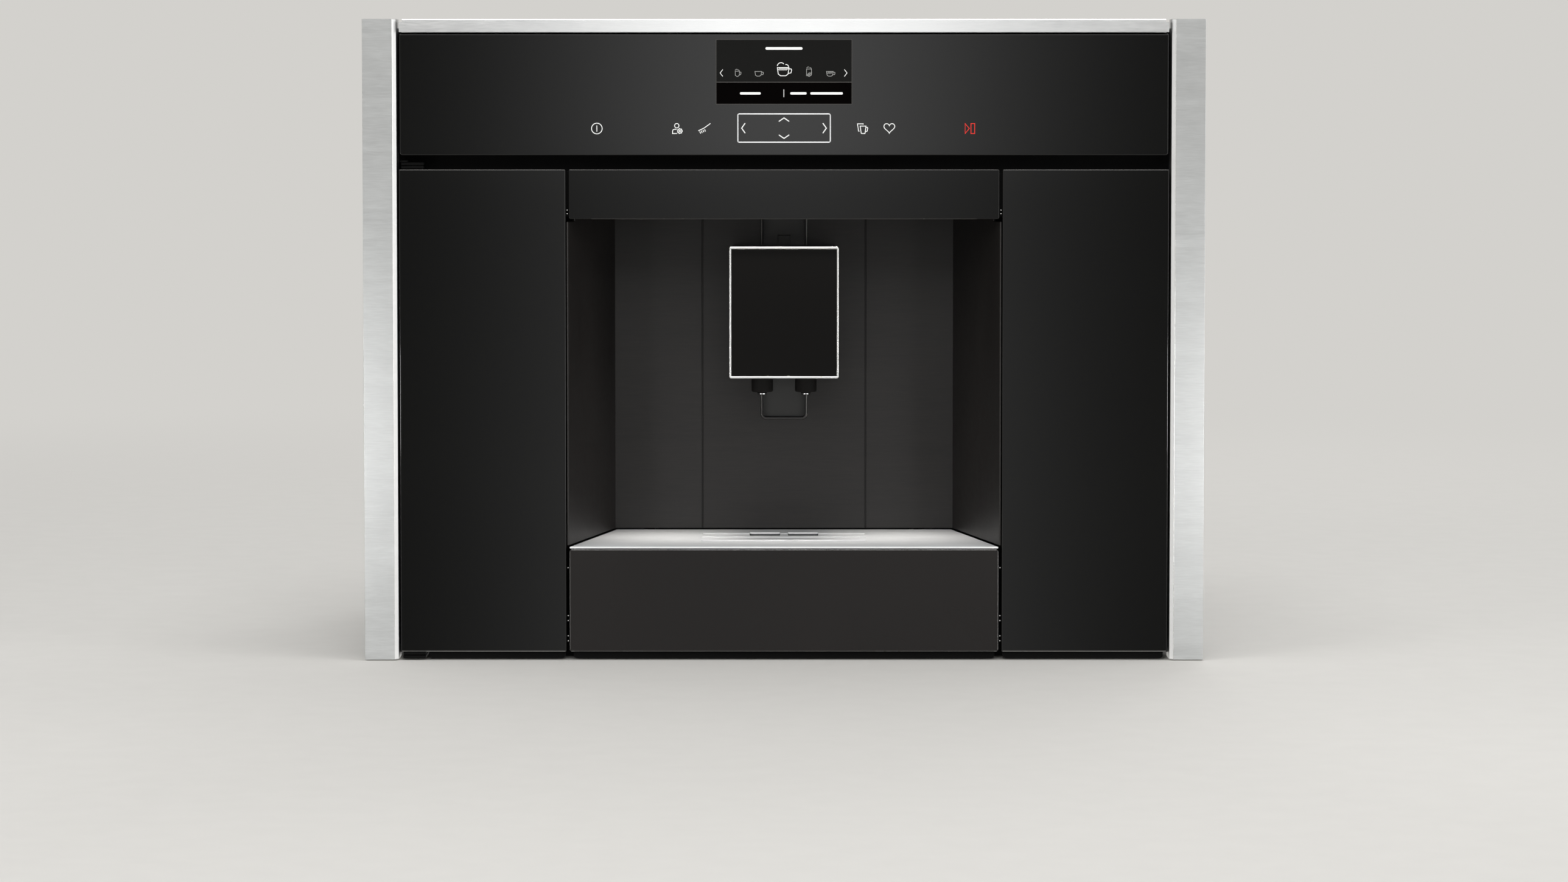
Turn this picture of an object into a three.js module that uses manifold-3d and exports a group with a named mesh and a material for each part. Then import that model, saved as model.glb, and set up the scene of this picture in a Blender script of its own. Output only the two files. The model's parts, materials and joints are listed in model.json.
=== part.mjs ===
// A compact built-in bean-to-cup coffee machine for a 60 cm wide tall cabinet.
// Millimetres. +X is the machine's right as seen from the front, +Y goes to its back, +Z is up.
// The origin is the middle of the footprint, on the shelf that the machine stands on.
import * as THREE from 'three';
import { mergeVertices } from 'three/addons/utils/BufferGeometryUtils.js';
import Module from 'manifold-3d';

const wasm = await Module();
wasm.setup();

// ---------------------------------------------------------------- driving dimensions
// Overall sizes
const FRONT_WIDTH = 596;
const FRONT_DEPTH = 23; // trims stand this far in front of the body
const BODY_WIDTH = 558;
const BODY_HEIGHT = 449; // shelf to the top cover
const FRONT_RISE = 6; // trims stand this far above the top cover
const BODY_DEPTH = 354;
const BODY_SHEET = 1.2;
const BASE_SHEET = 1.5;
const RUNNER_HEIGHT = 3;
const RUNNER_WIDTH = 24;
const RUNNER_STEP_GAP = 4; // from the tank's step to the runner
const FRAME_SHEET = 2;

// Clearances
const SEAT_GAP = 0.2; // between fixed pieces that bear on each other
const RUN_GAP = 0.3; // between a moving piece and what carries it

// Trims and fascia
const TRIM_FACE = 21.1;
const TRIM_BEVEL = 3.8;
const TRIM_BEVEL_DEPTH = 8.5;
const TRIM_SHEET = 1.5;
const TRIM_FLANGE = 17; // rear flange that bears on the cabinet
const TRIM_FOOT_GAP = 0.5; // trims hang this far above the shelf
const GLASS = 4;
const GLASS_SETBACK = 2.5; // glass faces behind the trim faces
const TOP_STRIP_HEIGHT = 9.3;
const TOP_STRIP_SHEET = 1.5;
const FASCIA_GAP = 1.3; // between the top strip and the control glass
const FASCIA_SIDE_GAP = 1.2;
const CONTROL_HEIGHT = 85.6;
const CONTROL_RADIUS = 2;
const RECESS_HEIGHT = 10.1; // finger recess above the door
const TOE_GAP = 6; // shelf to the bottom of door and lower panel
const CARRIER_INSET = 1.9;
const CARRIER_WALL = 2.5;
const DISPLAY_WIDTH = 96;
const DISPLAY_HEIGHT = 45.6;
const DISPLAY_DROP = 3.9; // below the control glass's top edge
const DISPLAY_DEPTH = 10;
const BOARD_SHEET = 1.6;
const BOARD_POST = 7;
const CONTROL_BOARD_WIDTH = 240;
const CONTROL_BOARD_HEIGHT = 72;
const NAV_WIDTH = 66.3;
const NAV_HEIGHT = 20.9;
const NAV_LINE = 0.9;
const NAV_PROUD = 0.6;
const NAV_RADIUS = 1.5;
const NAV_RISE = 8.7; // above the control glass's bottom edge

// Door
const DOOR_SIDE_GAP = 0.5;
const DOOR_BACK_GAP = 1;
const DOOR_FRAME_INSET = 1.6; // glass overlaps its frame at the outer edges
const DOOR_NICHE_INSET = 2.2; // and at the niche
const DOOR_FRAME_WALL = 2;
const DOOR_FRAME_SKIN = 2.5;
const DOOR_INNER_SHEET = 1.5;
const DOOR_EDGE_BEVEL = 1;
const LINTEL_HEIGHT = 35.1;
const LINTEL_RADIUS = 1.3;
const PANEL_SEAM = 2.4; // between the side glasses and what lies between them
const PIVOT_INSET = 3.5; // hinge axis from the door's left edge and its face
const HINGE_PIN = 4;
const HINGE_PIN_HEAD = 6.4;
const HINGE_HEAD_HEIGHT = 1.2;
const HINGE_EAR = 2.3;
const HINGE_EAR_WIDTH = 16;
const HINGE_EAR_GAP = 0.4; // glass edge to ear
const HINGE_PLATE = 2;
const HINGE_TAB_HEIGHT = 10;
const HINGE_TUCK = 15; // lower bracket reaches under the base
const MAGNET_WIDTH = 6;
const MAGNET_HEIGHT = 40;
const MAGNET_DEPTH = 9;
const MAGNET_LEVEL = 60;

// Cup niche
const NICHE_PANEL_GAP = 1.1; // from the lower panel's side to the niche wall, at the glass faces
const NICHE_BACK_WIDTH = 249.6;
const NICHE_DEPTH = 130;
const NICHE_SETBACK = 2; // wall edges behind the glass faces
const NICHE_WALL = 1.2;
const NICHE_BACK_SHEET = 2;
const NICHE_TOP_DROP = 3.7; // ceiling below the door's top edge
const NICHE_NOTCH_GAP = 2; // walls stay this clear of the lintel
const GROOVE_OFFSET = 60.2;
const GROOVE_WIDTH = 1;
const GROOVE_DEPTH = 1;
const LIGHT_LENGTH = 180;
const LIGHT_WIDTH = 12;
const LIGHT_HEIGHT = 4;
const LIGHT_SETBACK = 28;

// Outlet and its guide
const GUIDE_WIDTH = 34.1;
const GUIDE_BOTTOM = 162.6;
const GUIDE_RADIUS = 3.8;
const GUIDE_DEPTH = 8;
const GUIDE_PROUD = 0.5;
const GUIDE_WALL = 1.5;
const OUTLET_WIDTH = 78.8;
const OUTLET_HEIGHT = 94.7;
const OUTLET_BOTTOM = 198;
const OUTLET_SETBACK = 42;
const OUTLET_RING = 1.5;
const OUTLET_RING_DEPTH = 4;
const OUTLET_RADIUS = 1.2;
const OUTLET_PLATE_SINK = 1;
const OUTLET_PLATE = 2.8;
const OUTLET_WALL = 2.5;
const OUTLET_INSET = 1.2; // housing behind the ring's outer edge
const OUTLET_BACK_GAP = 3;
const OUTLET_DOWN = 35;
const OUTLET_UP = 45;
const CARRIAGE_HEIGHT = 70;
const SPIGOT = 8;
const SPIGOT_LENGTH = 18;
const NOZZLE_SPACING = 31.8;
const NOZZLE = 15.8;
const NOZZLE_HEIGHT = 12.5;
const NOZZLE_TIP = 6.6;
const NOZZLE_TIP_HEIGHT = 2.2;
const NOZZLE_NECK = 12;
const NOZZLE_NECK_HEIGHT = 6;
const NOZZLE_BORE = 3.6;
const NOZZLE_SETBACK = 88;

// Drip tray
const LOWER_PANEL_WIDTH = 304.8;
const LOWER_PANEL_HEIGHT = 72.7;
const TRAY_FRONT_DEPTH = 11.6;
const TRAY_FRONT_WALL = 2.5;
const TRAY_WALL = 2;
const TRAY_FLOOR = 9; // above the shelf
const TRAY_REACH = 246; // glass face to the tray's back
const TRAY_BACK_WIDTH = 210;
const TRAY_PARTITION = 45;
const PLATE = 2;
const PLATE_LIP_GAP = 0.5; // drip plate above the lower panel
const PLATE_SETBACK = 0.6;
const PLATE_SIDE_GAP = 1;
const SLOT_LENGTH = 118.6;
const SLOT_WIDTH = 8;
const SLOT_ROWS = 3;
const SLOT_FIRST = 39.1; // plate's front edge to the first slot
const SLOT_PITCH = 25.6;
const DRAIN_WIDTH = 22;
const DRAIN_DEPTH = 25.3;
const DRAIN_OFFSET = 14;
const DRAIN_SETBACK = 89.4;
const GROUNDS_WIDTH = 196;
const GROUNDS_DEPTH = 104;
const GROUNDS_HEIGHT = 64;
const GROUNDS_WALL = 2;
const CRADLE_SHEET = 1.5;
const CRADLE_SIDE = 24;
const CRADLE_RIB = 10;
const CRADLE_RIB_OFFSET = 90;

// Bays behind the door
const BAY_CENTRE = 215; // both bays, from the middle
const BAY_GAP = 2;
const TANK_WIDTH = 96;
const TANK_DEPTH = 130;
const TANK_HEIGHT = 236;
const TANK_FLOOR = 14;
const TANK_WALL = 2.2;
const TANK_LID = 3;
const TANK_SPIGOT = 14;
const TANK_SPIGOT_LENGTH = 8;
const TANK_SPIGOT_LEVEL = 20; // above the tank's floor
const TANK_GRIP_LEVEL = 177; // above the tank's floor
const TANK_GRIP_WIDTH = 54;
const TANK_GRIP_HEIGHT = 26;
const TANK_GRIP_DEPTH = 14;
const LID_KNUCKLE = 6;
const LID_PIN = 3;
const LID_EAR = 5;
const LID_EAR_INSET = 7; // from the tank's side to the ear
const BAY_SETBACK = 2; // fronts of what stands in the bays, behind the frame's face
const HOPPER_WIDTH = 98;
const HOPPER_DEPTH = 210;
const HOPPER_HEIGHT = 36;
const HOPPER_TOP = 338;
const HOPPER_WALL = 2;
const HOPPER_THROAT = 34;
const HOPPER_LID = 2.6;
const DRAWER_WIDTH = 46;
const DRAWER_DEPTH = 90;
const DRAWER_HEIGHT = 30;
const DRAWER_LEVEL = 262;
const DRAWER_OFFSET = -24; // from the bay's middle
const DRAWER_WALL = 2;
const DIAL = 26;
const DIAL_DEPTH = 10;
const DIAL_RIDGE = 4;
const DIAL_SHAFT = 6;
const DIAL_OFFSET = 25;
const COVER_WIDTH = 98;
const COVER_LEVEL = 92;
const COVER_HEIGHT = 162;
const COVER_SHEET = 2.5;
const COVER_GRIP = 30;
const COVER_GRIP_DEPTH = 9.8;
const BREW_WIDTH = 70;
const BREW_DEPTH = 108;
const BREW_HEIGHT = 138;
const BREW_LEVEL = 98;
const BREW_SETBACK = 14;
const BREW_CHAMBER = 46;
const BREW_FOOT = 26;
const BREW_RECESS = 12;

// Grinder
const GRINDER = 76;
const GRINDER_HEIGHT = 74;
const GRINDER_BORE = 52;
const GRINDER_CUP = 34;
const BURR = 44;
const BURR_HEIGHT = 26;
const BURR_SHAFT = 8;
const MOTOR = 54;
const MOTOR_HEIGHT = 90;
const MOTOR_FOOT = 84;
const CHUTE_WIDTH = 24;

// Water and power
const PUMP = 48;
const PUMP_LENGTH = 96;
const PUMP_X = -75;
const PUMP_LEVEL = 115;
const PUMP_REAR_GAP = 14;
const PUMP_PORT = 10;
const PUMP_FOOT = 40;
const HEATER_WIDTH = 66;
const HEATER_DEPTH = 56;
const HEATER_HEIGHT = 84;
const HEATER_X = 72; // its left side
const HEATER_LEVEL = 150;
const HEATER_FIN = 4;
const HEATER_FINS = 5;
const HEATER_PIPE = 6;
const HEATER_PORT_RISE = 44;
const HOSE = 7;
const BOARD_WIDTH = 150;
const BOARD_HEIGHT = 170;
const BOARD_X = -20;
const BOARD_LEVEL = 150;
const BOARD_STANDOFF = 7;
const TRANSFORMER = [44, 34]; // side and height above the board
const RELAY = [20, 16];
const CAPACITOR = [25, 32];
const SWITCH_WIDTH = 20;
const SWITCH_HEIGHT = 30;
const SWITCH_LEVEL = 52;
const SWITCH_DEPTH = 12;
const SWITCH_TILT = 6; // of each half of the rocker, in degrees
const INLET_WIDTH = 28;
const INLET_HEIGHT = 24;
const INLET_DEPTH = 22;
const INLET_X = 200;
const INLET_LEVEL = 46;
const INLET_WALL = 2.5;
const INLET_PIN = 4;
const INLET_PIN_PITCH = 7;
const INLET_PIN_SINK = 4;
const VENT_WIDTH = 5;
const VENT_PITCH = 12;
const VENT_LENGTH = 60;
const VENTS = 9;

// ---------------------------------------------------------------- derived places
const yTrim = -(BODY_DEPTH + FRONT_DEPTH) / 2;
const yBody = yTrim + FRONT_DEPTH;
const yRear = yBody + BODY_DEPTH;
const yGlass = yTrim + GLASS_SETBACK;
const yGlassBack = yGlass + GLASS;
const yFrameBack = yBody + FRAME_SHEET;
const yInside = yFrameBack + SEAT_GAP; // first free plane behind the front frame
const xBody = BODY_WIDTH / 2;
const xFrame = xBody - BODY_SHEET - SEAT_GAP;
const zBase = RUNNER_HEIGHT + BASE_SHEET;
const zFloor = zBase + SEAT_GAP;
const zRoof = BODY_HEIGHT - BODY_SHEET - SEAT_GAP;
const zFront = BODY_HEIGHT + FRONT_RISE;

const xTrimInner = FRONT_WIDTH / 2 - TRIM_FACE - TRIM_BEVEL;
const xFascia = xTrimInner - FASCIA_SIDE_GAP;
const zStrip = zFront - TOP_STRIP_HEIGHT;
const zControlTop = zStrip - FASCIA_GAP;
const zControl = zControlTop - CONTROL_HEIGHT;
const zDoorTop = zControl - RECESS_HEIGHT;
const zDoor = TOE_GAP;
const zLintel = zDoorTop - LINTEL_HEIGHT;
const xDoor = xTrimInner - DOOR_SIDE_GAP;
const xPanel = LOWER_PANEL_WIDTH / 2;
const xSideGlass = xPanel + PANEL_SEAM;
const pivot = [-xDoor + PIVOT_INSET, yGlass + PIVOT_INSET];

const yNiche = yGlass + NICHE_DEPTH;
const zPlate = zDoor + LOWER_PANEL_HEIGHT + PLATE_LIP_GAP;
const zPlateTop = zPlate + PLATE;
const zNiche = zPlateTop + RUN_GAP;
const zCeiling = zDoorTop - NICHE_TOP_DROP;
const yTray = yGlassBack + SEAT_GAP + TRAY_FRONT_DEPTH + SEAT_GAP;
const yTrayBack = yGlass + TRAY_REACH;

const yBay = yBody + BAY_SETBACK;
const zTankTop = TANK_FLOOR + TANK_HEIGHT;
const yTankBack = yBay + TANK_DEPTH;
const zHopper = HOPPER_TOP - HOPPER_HEIGHT;
const zGrinderTop = zHopper - RUN_GAP;
const zGrinder = zGrinderTop - GRINDER_HEIGHT;
const yGrinder = yBay + HOPPER_DEPTH - GRINDER / 2;
const yBrewBack = yBay + BREW_SETBACK + BREW_DEPTH;

// Half the niche's width at a depth: its walls run straight from front to back.
function nicheHalf(y) {
  const share = (y - yGlass) / NICHE_DEPTH;
  const front = xPanel + NICHE_PANEL_GAP;
  return front + (NICHE_BACK_WIDTH / 2 - front) * share;
}

// ---------------------------------------------------------------- shape helpers
const SIDES = 24;
const ARC_STEPS = 3;

function solidOf(geometry) {
  geometry.deleteAttribute('normal');
  geometry.deleteAttribute('uv');
  const merged = mergeVertices(geometry, 1e-4);
  return new wasm.Manifold(new wasm.Mesh({
    numProp: 3,
    vertProperties: new Float32Array(merged.attributes.position.array),
    triVerts: new Uint32Array(merged.index.array),
  }));
}

// A block between two places on each axis.
function block(x, y, z) {
  const geometry = new THREE.BoxGeometry(x[1] - x[0], y[1] - y[0], z[1] - z[0]);
  geometry.translate((x[0] + x[1]) / 2, (y[0] + y[1]) / 2, (z[0] + z[1]) / 2);
  return solidOf(geometry);
}

// An outline extruded along one axis. The outline's two axes are the others, in the order
// x, y along z; x, z along y; y, z along x.
function prism(axis, outline, low, high) {
  const points = Array.isArray(outline) && outline.map((p) => new THREE.Vector2(...p));
  const shape = points ? new THREE.Shape(points) : outline;
  const geometry = new THREE.ExtrudeGeometry(shape, {
    depth: high - low,
    bevelEnabled: false,
    curveSegments: ARC_STEPS,
  });
  const placed = {
    x: [0, 0, 1, low, 1, 0, 0, 0, 0, 1, 0, 0, 0, 0, 0, 1],
    y: [1, 0, 0, 0, 0, 0, -1, high, 0, 1, 0, 0, 0, 0, 0, 1],
    z: [1, 0, 0, 0, 0, 1, 0, 0, 0, 0, 1, low, 0, 0, 0, 1],
  };
  geometry.applyMatrix4(new THREE.Matrix4().set(...placed[axis]));
  return solidOf(geometry);
}

// A rectangle with its corners rounded: one radius, or one each for the low and the high corners.
function rounded(u, v, radius, radiusHigh = radius) {
  const shape = new THREE.Shape();
  const corner = (x, y, r, start) => {
    if (r > 0) {
      shape.absarc(x, y, r, start, start + Math.PI / 2, false);
    } else {
      shape.lineTo(x, y);
    }
  };
  shape.moveTo(u[0] + radius, v[0]);
  corner(u[1] - radius, v[0] + radius, radius, -Math.PI / 2);
  corner(u[1] - radiusHigh, v[1] - radiusHigh, radiusHigh, 0);
  corner(u[0] + radiusHigh, v[1] - radiusHigh, radiusHigh, Math.PI / 2);
  corner(u[0] + radius, v[0] + radius, radius, Math.PI);
  shape.closePath();
  return shape;
}

// A round bar along one axis, through a centre given on the other two.
function rod(axis, centre, diameter, low, high, sides = SIDES, endDiameter = diameter) {
  const geometry = new THREE.CylinderGeometry(endDiameter / 2, diameter / 2, high - low, sides);
  const middle = (low + high) / 2;
  const [a, b] = centre;
  const placed = {
    x: [0, 1, 0, middle, -1, 0, 0, a, 0, 0, 1, b, 0, 0, 0, 1],
    y: [1, 0, 0, a, 0, 1, 0, middle, 0, 0, 1, b, 0, 0, 0, 1],
    z: [1, 0, 0, a, 0, 0, -1, b, 0, 1, 0, middle, 0, 0, 0, 1],
  };
  geometry.applyMatrix4(new THREE.Matrix4().set(...placed[axis]));
  return solidOf(geometry);
}

// A hose of eight sides along a smooth route.
function hose(route, diameter) {
  const section = new THREE.Shape();
  const half = diameter / 2;
  const sides = 8;
  for (let i = 0; i < sides; i += 1) {
    const turn = (i / sides) * 2 * Math.PI;
    section[i ? 'lineTo' : 'moveTo'](half * Math.cos(turn), half * Math.sin(turn));
  }
  const path = new THREE.CatmullRomCurve3(route.map((p) => new THREE.Vector3(...p)));
  const steps = Math.round(path.getLength() / (diameter * 2));
  return solidOf(new THREE.ExtrudeGeometry(section, { steps, bevelEnabled: false, extrudePath: path }));
}

const span = (half) => [-half, half];
const around = (middle, size) => [middle - size / 2, middle + size / 2];
const from = (low, size) => [low, low + size];
const grown = ([low, high], by) => [low - by, high + by];
const mirrored = ([low, high]) => [-high, -low];

// A row of equal upright slots to cut, along X, through a sheet that lies across Y or Z.
function ventRow(centreX, across, sheet, flat) {
  const row = Array.from({ length: VENTS }, (_, i) => {
    const x = around(centreX + (i - (VENTS - 1) / 2) * VENT_PITCH, VENT_WIDTH);
    const wide = around(across, VENT_LENGTH);
    return flat ? block(x, wide, sheet) : block(x, sheet, wide);
  });
  return row.reduce((all, slot) => all.add(slot));
}

// ---------------------------------------------------------------- materials
const finish = (color, roughness, metalness = 0) =>
  new THREE.MeshStandardMaterial({ color, roughness, metalness });
const brushedSteel = finish(0xb9bbbc, 0.34, 1);
const chromed = finish(0xdfe1e3, 0.12, 1);
const blackGlass = finish(0x131313, 0.08);
const blackPlastic = finish(0x1a1a1a, 0.5);
const greyPlastic = finish(0x4a4c4e, 0.6);
const nicheSteel = finish(0x2a2625, 0.42, 0.6);
const zincSheet = finish(0x9a9d9f, 0.45, 0.9);
const clearPlastic = finish(0xa9b7bd, 0.15);
const smokedPlastic = finish(0x3b3430, 0.2);
const castAluminium = finish(0xa3a5a6, 0.5, 0.9);
const boardGreen = finish(0x1f5a3a, 0.55);
const siliconeHose = finish(0xd8d8d2, 0.4);
const screenBlack = finish(0x0c0d0e, 0.1);
const lampWhite = finish(0xfff4e2, 0.3);
const ceramic = finish(0xe9e6de, 0.35);

// ---------------------------------------------------------------- assembly
const machine = new THREE.Group();

function groupAt(x, y, z) {
  const group = new THREE.Group();
  group.position.set(x, y, z);
  machine.add(group);
  return group;
}

// Adds a solid, shaped in the machine's frame, to a group that has its own origin.
function add(group, name, solid, material) {
  const { x, y, z } = group.position;
  const made = solid.translate([-x, -y, -z]).getMesh();
  const geometry = new THREE.BufferGeometry();
  geometry.setAttribute('position', new THREE.BufferAttribute(new Float32Array(made.vertProperties), 3));
  geometry.setIndex(new THREE.BufferAttribute(new Uint32Array(made.triVerts), 1));
  geometry.computeVertexNormals();
  const mesh = new THREE.Mesh(geometry, material);
  mesh.name = name;
  group.add(mesh);
}

// ---------------------------------------------------------------- body
function basePlate() {
  const plate = block(span(xBody), [yBody, yRear], [RUNNER_HEIGHT, zBase]);
  // The tank stands on a step pressed up out of the sheet, and the runners lie beside it.
  const step = grown(around(-BAY_CENTRE, TANK_WIDTH), -BAY_GAP);
  const runner = from(step[1] + RUNNER_STEP_GAP, RUNNER_WIDTH);
  const runners = [runner, mirrored(runner)].map((x) => block(x, [yBody, yRear], [0, RUNNER_HEIGHT]));
  const stepTop = TANK_FLOOR - SEAT_GAP;
  const raised = block(step, [yInside, yTankBack], [RUNNER_HEIGHT, stepTop]);
  const hollow = block(
    grown(step, -BASE_SHEET),
    [yInside + BASE_SHEET, yTankBack - BASE_SHEET],
    [RUNNER_HEIGHT, stepTop - BASE_SHEET],
  );
  return runners.reduce((all, one) => all.add(one), plate.add(raised).subtract(hollow));
}

function sidePanel(side) {
  const outer = [xBody - BODY_SHEET, xBody];
  const panel = block(outer, [yBody, yRear - BODY_SHEET - SEAT_GAP], [zFloor, zRoof]);
  const vents = Array.from({ length: VENTS }, (_, i) => block(
    grown(outer, 1),
    around(yRear - VENT_PITCH * (i + 3), VENT_WIDTH),
    around(zRoof - VENT_LENGTH, VENT_LENGTH),
  )).reduce((all, slot) => all.add(slot));
  const right = panel.subtract(vents);
  return side > 0 ? right : right.mirror([1, 0, 0]);
}

function topCover() {
  const sheet = [BODY_HEIGHT - BODY_SHEET, BODY_HEIGHT];
  const cover = block(span(xBody), [yBody, yRear], sheet);
  return cover.subtract(ventRow(0, yRear - VENT_LENGTH, grown(sheet, 1), true));
}

function rearPanel() {
  const sheet = [yRear - BODY_SHEET, yRear];
  const panel = block(span(xBody), sheet, [zFloor, zRoof]);
  const cut = grown(sheet, 1);
  const inlet = block(
    grown(around(INLET_X, INLET_WIDTH), SEAT_GAP),
    cut,
    grown(around(INLET_LEVEL, INLET_HEIGHT), SEAT_GAP),
  );
  const right = ventRow(BODY_WIDTH / 4, zRoof - VENT_LENGTH, cut, false);
  const left = ventRow(-BODY_WIDTH / 4, zRoof - VENT_LENGTH, cut, false);
  return panel.subtract(inlet).subtract(right).subtract(left);
}

// The places in the front frame that the door's bays look through.
const tankBay = [
  grown(around(-BAY_CENTRE, TANK_WIDTH), BAY_GAP),
  [TANK_FLOOR, zTankTop + LID_KNUCKLE + BAY_GAP],
];
const hopperBay = [around(BAY_CENTRE, HOPPER_WIDTH), [zHopper, HOPPER_TOP + HOPPER_LID + SEAT_GAP]];
const drawerBay = [around(BAY_CENTRE + DRAWER_OFFSET, DRAWER_WIDTH), from(DRAWER_LEVEL, DRAWER_HEIGHT)];
const coverBay = [around(BAY_CENTRE, COVER_WIDTH), from(COVER_LEVEL, COVER_HEIGHT)];
const switchBay = [around(BAY_CENTRE, SWITCH_WIDTH), around(SWITCH_LEVEL, SWITCH_HEIGHT)];
const xMagnet = xTrimInner - MAGNET_WIDTH - BAY_GAP;
const magnetBay = [from(xMagnet, MAGNET_WIDTH), around(MAGNET_LEVEL, MAGNET_HEIGHT)];
const dialPlace = [BAY_CENTRE + DIAL_OFFSET, DRAWER_LEVEL + DRAWER_HEIGHT / 2];

function frontFrame() {
  const sheet = [yBody, yFrameBack];
  const cut = grown(sheet, 1);
  const frame = block(span(xFrame), sheet, [zFloor, zRoof]);
  const nicheEdge = nicheHalf(yBody) + NICHE_WALL + SEAT_GAP;
  const niche = block(span(nicheEdge), cut, [zFloor - 1, zCeiling + NICHE_WALL + SEAT_GAP]);
  const openings = [hopperBay, drawerBay, coverBay, switchBay, magnetBay].map(([x, z]) =>
    block(grown(x, SEAT_GAP), cut, grown(z, SEAT_GAP)));
  openings.push(block(tankBay[0], cut, tankBay[1]));
  openings.push(rod('y', dialPlace, DIAL + 2 * RUN_GAP, cut[0], cut[1]));
  return openings.reduce((left, hole) => left.subtract(hole), frame.subtract(niche));
}

// ---------------------------------------------------------------- fascia
function trim(side) {
  const x = FRONT_WIDTH / 2;
  const inner = TRIM_SHEET * Math.hypot(TRIM_BEVEL, TRIM_BEVEL_DEPTH) / TRIM_BEVEL_DEPTH;
  const right = prism('z', [
    [x, yTrim],
    [x, yBody],
    [x - TRIM_FLANGE, yBody],
    [x - TRIM_FLANGE, yBody - TRIM_SHEET],
    [x - TRIM_SHEET, yBody - TRIM_SHEET],
    [x - TRIM_SHEET, yTrim + TRIM_SHEET],
    [x - TRIM_FACE + inner, yTrim + TRIM_SHEET],
    [xTrimInner + TRIM_SHEET, yTrim + TRIM_BEVEL_DEPTH],
    [xTrimInner + TRIM_SHEET, yBody],
    [xTrimInner, yBody],
    [xTrimInner, yTrim + TRIM_BEVEL_DEPTH],
    [x - TRIM_FACE, yTrim],
  ], TRIM_FOOT_GAP, zFront);
  return side > 0 ? right : right.mirror([1, 0, 0]);
}

// A strip folded back along its upper edge and down again onto the front frame.
function topStrip() {
  return prism('x', [
    [yTrim, zStrip],
    [yTrim + TOP_STRIP_SHEET, zStrip],
    [yTrim + TOP_STRIP_SHEET, zFront - TOP_STRIP_SHEET],
    [yBody - TOP_STRIP_SHEET, zFront - TOP_STRIP_SHEET],
    [yBody - TOP_STRIP_SHEET, zStrip],
    [yBody, zStrip],
    [yBody, zFront],
    [yTrim, zFront],
  ], -xFascia, xFascia);
}

function controlGlass() {
  const outline = rounded(span(xFascia), [zControl, zControlTop], CONTROL_RADIUS, 0);
  return prism('y', outline, yGlass, yGlassBack);
}

const yCarrier = yGlassBack + SEAT_GAP;
const zDisplay = [zControlTop - DISPLAY_DROP - DISPLAY_HEIGHT, zControlTop - DISPLAY_DROP];

function controlCarrier() {
  const x = xFascia - CARRIER_INSET;
  const z = grown([zControl, zControlTop], -CARRIER_INSET);
  const shell = block(span(x), [yCarrier, yBody - SEAT_GAP], z);
  const hollow = block(span(x - CARRIER_WALL), [yCarrier + CARRIER_WALL, yBody], grown(z, -CARRIER_WALL));
  const window = block(span(DISPLAY_WIDTH / 2 + SEAT_GAP), [yCarrier - 1, yBody], grown(zDisplay, SEAT_GAP));
  return shell.subtract(hollow).subtract(window);
}

const yControlBoard = yCarrier + DISPLAY_DEPTH + SEAT_GAP;

function displayModule() {
  return block(span(DISPLAY_WIDTH / 2), from(yCarrier, DISPLAY_DEPTH), zDisplay);
}

function controlBoard() {
  const middle = (zControl + zControlTop) / 2;
  const sheet = from(yControlBoard, BOARD_SHEET);
  const board = block(span(CONTROL_BOARD_WIDTH / 2), sheet, around(middle, CONTROL_BOARD_HEIGHT));
  // Four posts carry it on the carrier's front.
  const posts = [-1, 1].flatMap((u) => [-1, 1].map((v) => rod('y', [
    u * (CONTROL_BOARD_WIDTH / 2 - BOARD_POST),
    middle + v * (CONTROL_BOARD_HEIGHT / 2 - BOARD_POST),
  ], BOARD_POST, yCarrier + CARRIER_WALL + SEAT_GAP, yControlBoard + BOARD_SHEET / 2, 8)));
  return posts.reduce((all, post) => all.add(post), board);
}

function navFrame() {
  const x = span(NAV_WIDTH / 2);
  const z = from(zControl + NAV_RISE, NAV_HEIGHT);
  const outer = prism('y', rounded(x, z, NAV_RADIUS), yGlass - NAV_PROUD, yGlass);
  const inner = rounded(grown(x, -NAV_LINE), grown(z, -NAV_LINE), NAV_RADIUS - NAV_LINE);
  return outer.subtract(prism('y', inner, yGlass - NAV_PROUD - 1, yGlass + 1));
}

// ---------------------------------------------------------------- door
const xDoorFrame = xDoor - DOOR_FRAME_INSET;
const xDoorNiche = xSideGlass + DOOR_NICHE_INSET;
const yDoorFrame = yGlassBack + SEAT_GAP;
const yDoorInner = yBody - DOOR_BACK_GAP - DOOR_INNER_SHEET;
const zDoorFrame = [zDoor + DOOR_FRAME_INSET, zDoorTop - DOOR_FRAME_INSET];

// The upside-down U that the glasses are stuck to, drawn in by a margin.
function doorOutline(margin) {
  const [low, high] = grown(zDoorFrame, -margin);
  const under = zLintel + DOOR_FRAME_INSET + margin;
  const outer = xDoorFrame - margin;
  const inner = xDoorNiche + margin;
  return [
    [-outer, low], [-inner, low], [-inner, under], [inner, under],
    [inner, low], [outer, low], [outer, high], [-outer, high],
  ];
}

const zEarTop = from(zDoorTop + HINGE_EAR_GAP, HINGE_EAR);
const zEarLow = [zDoor - HINGE_EAR_GAP - HINGE_EAR, zDoor - HINGE_EAR_GAP];

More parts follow.
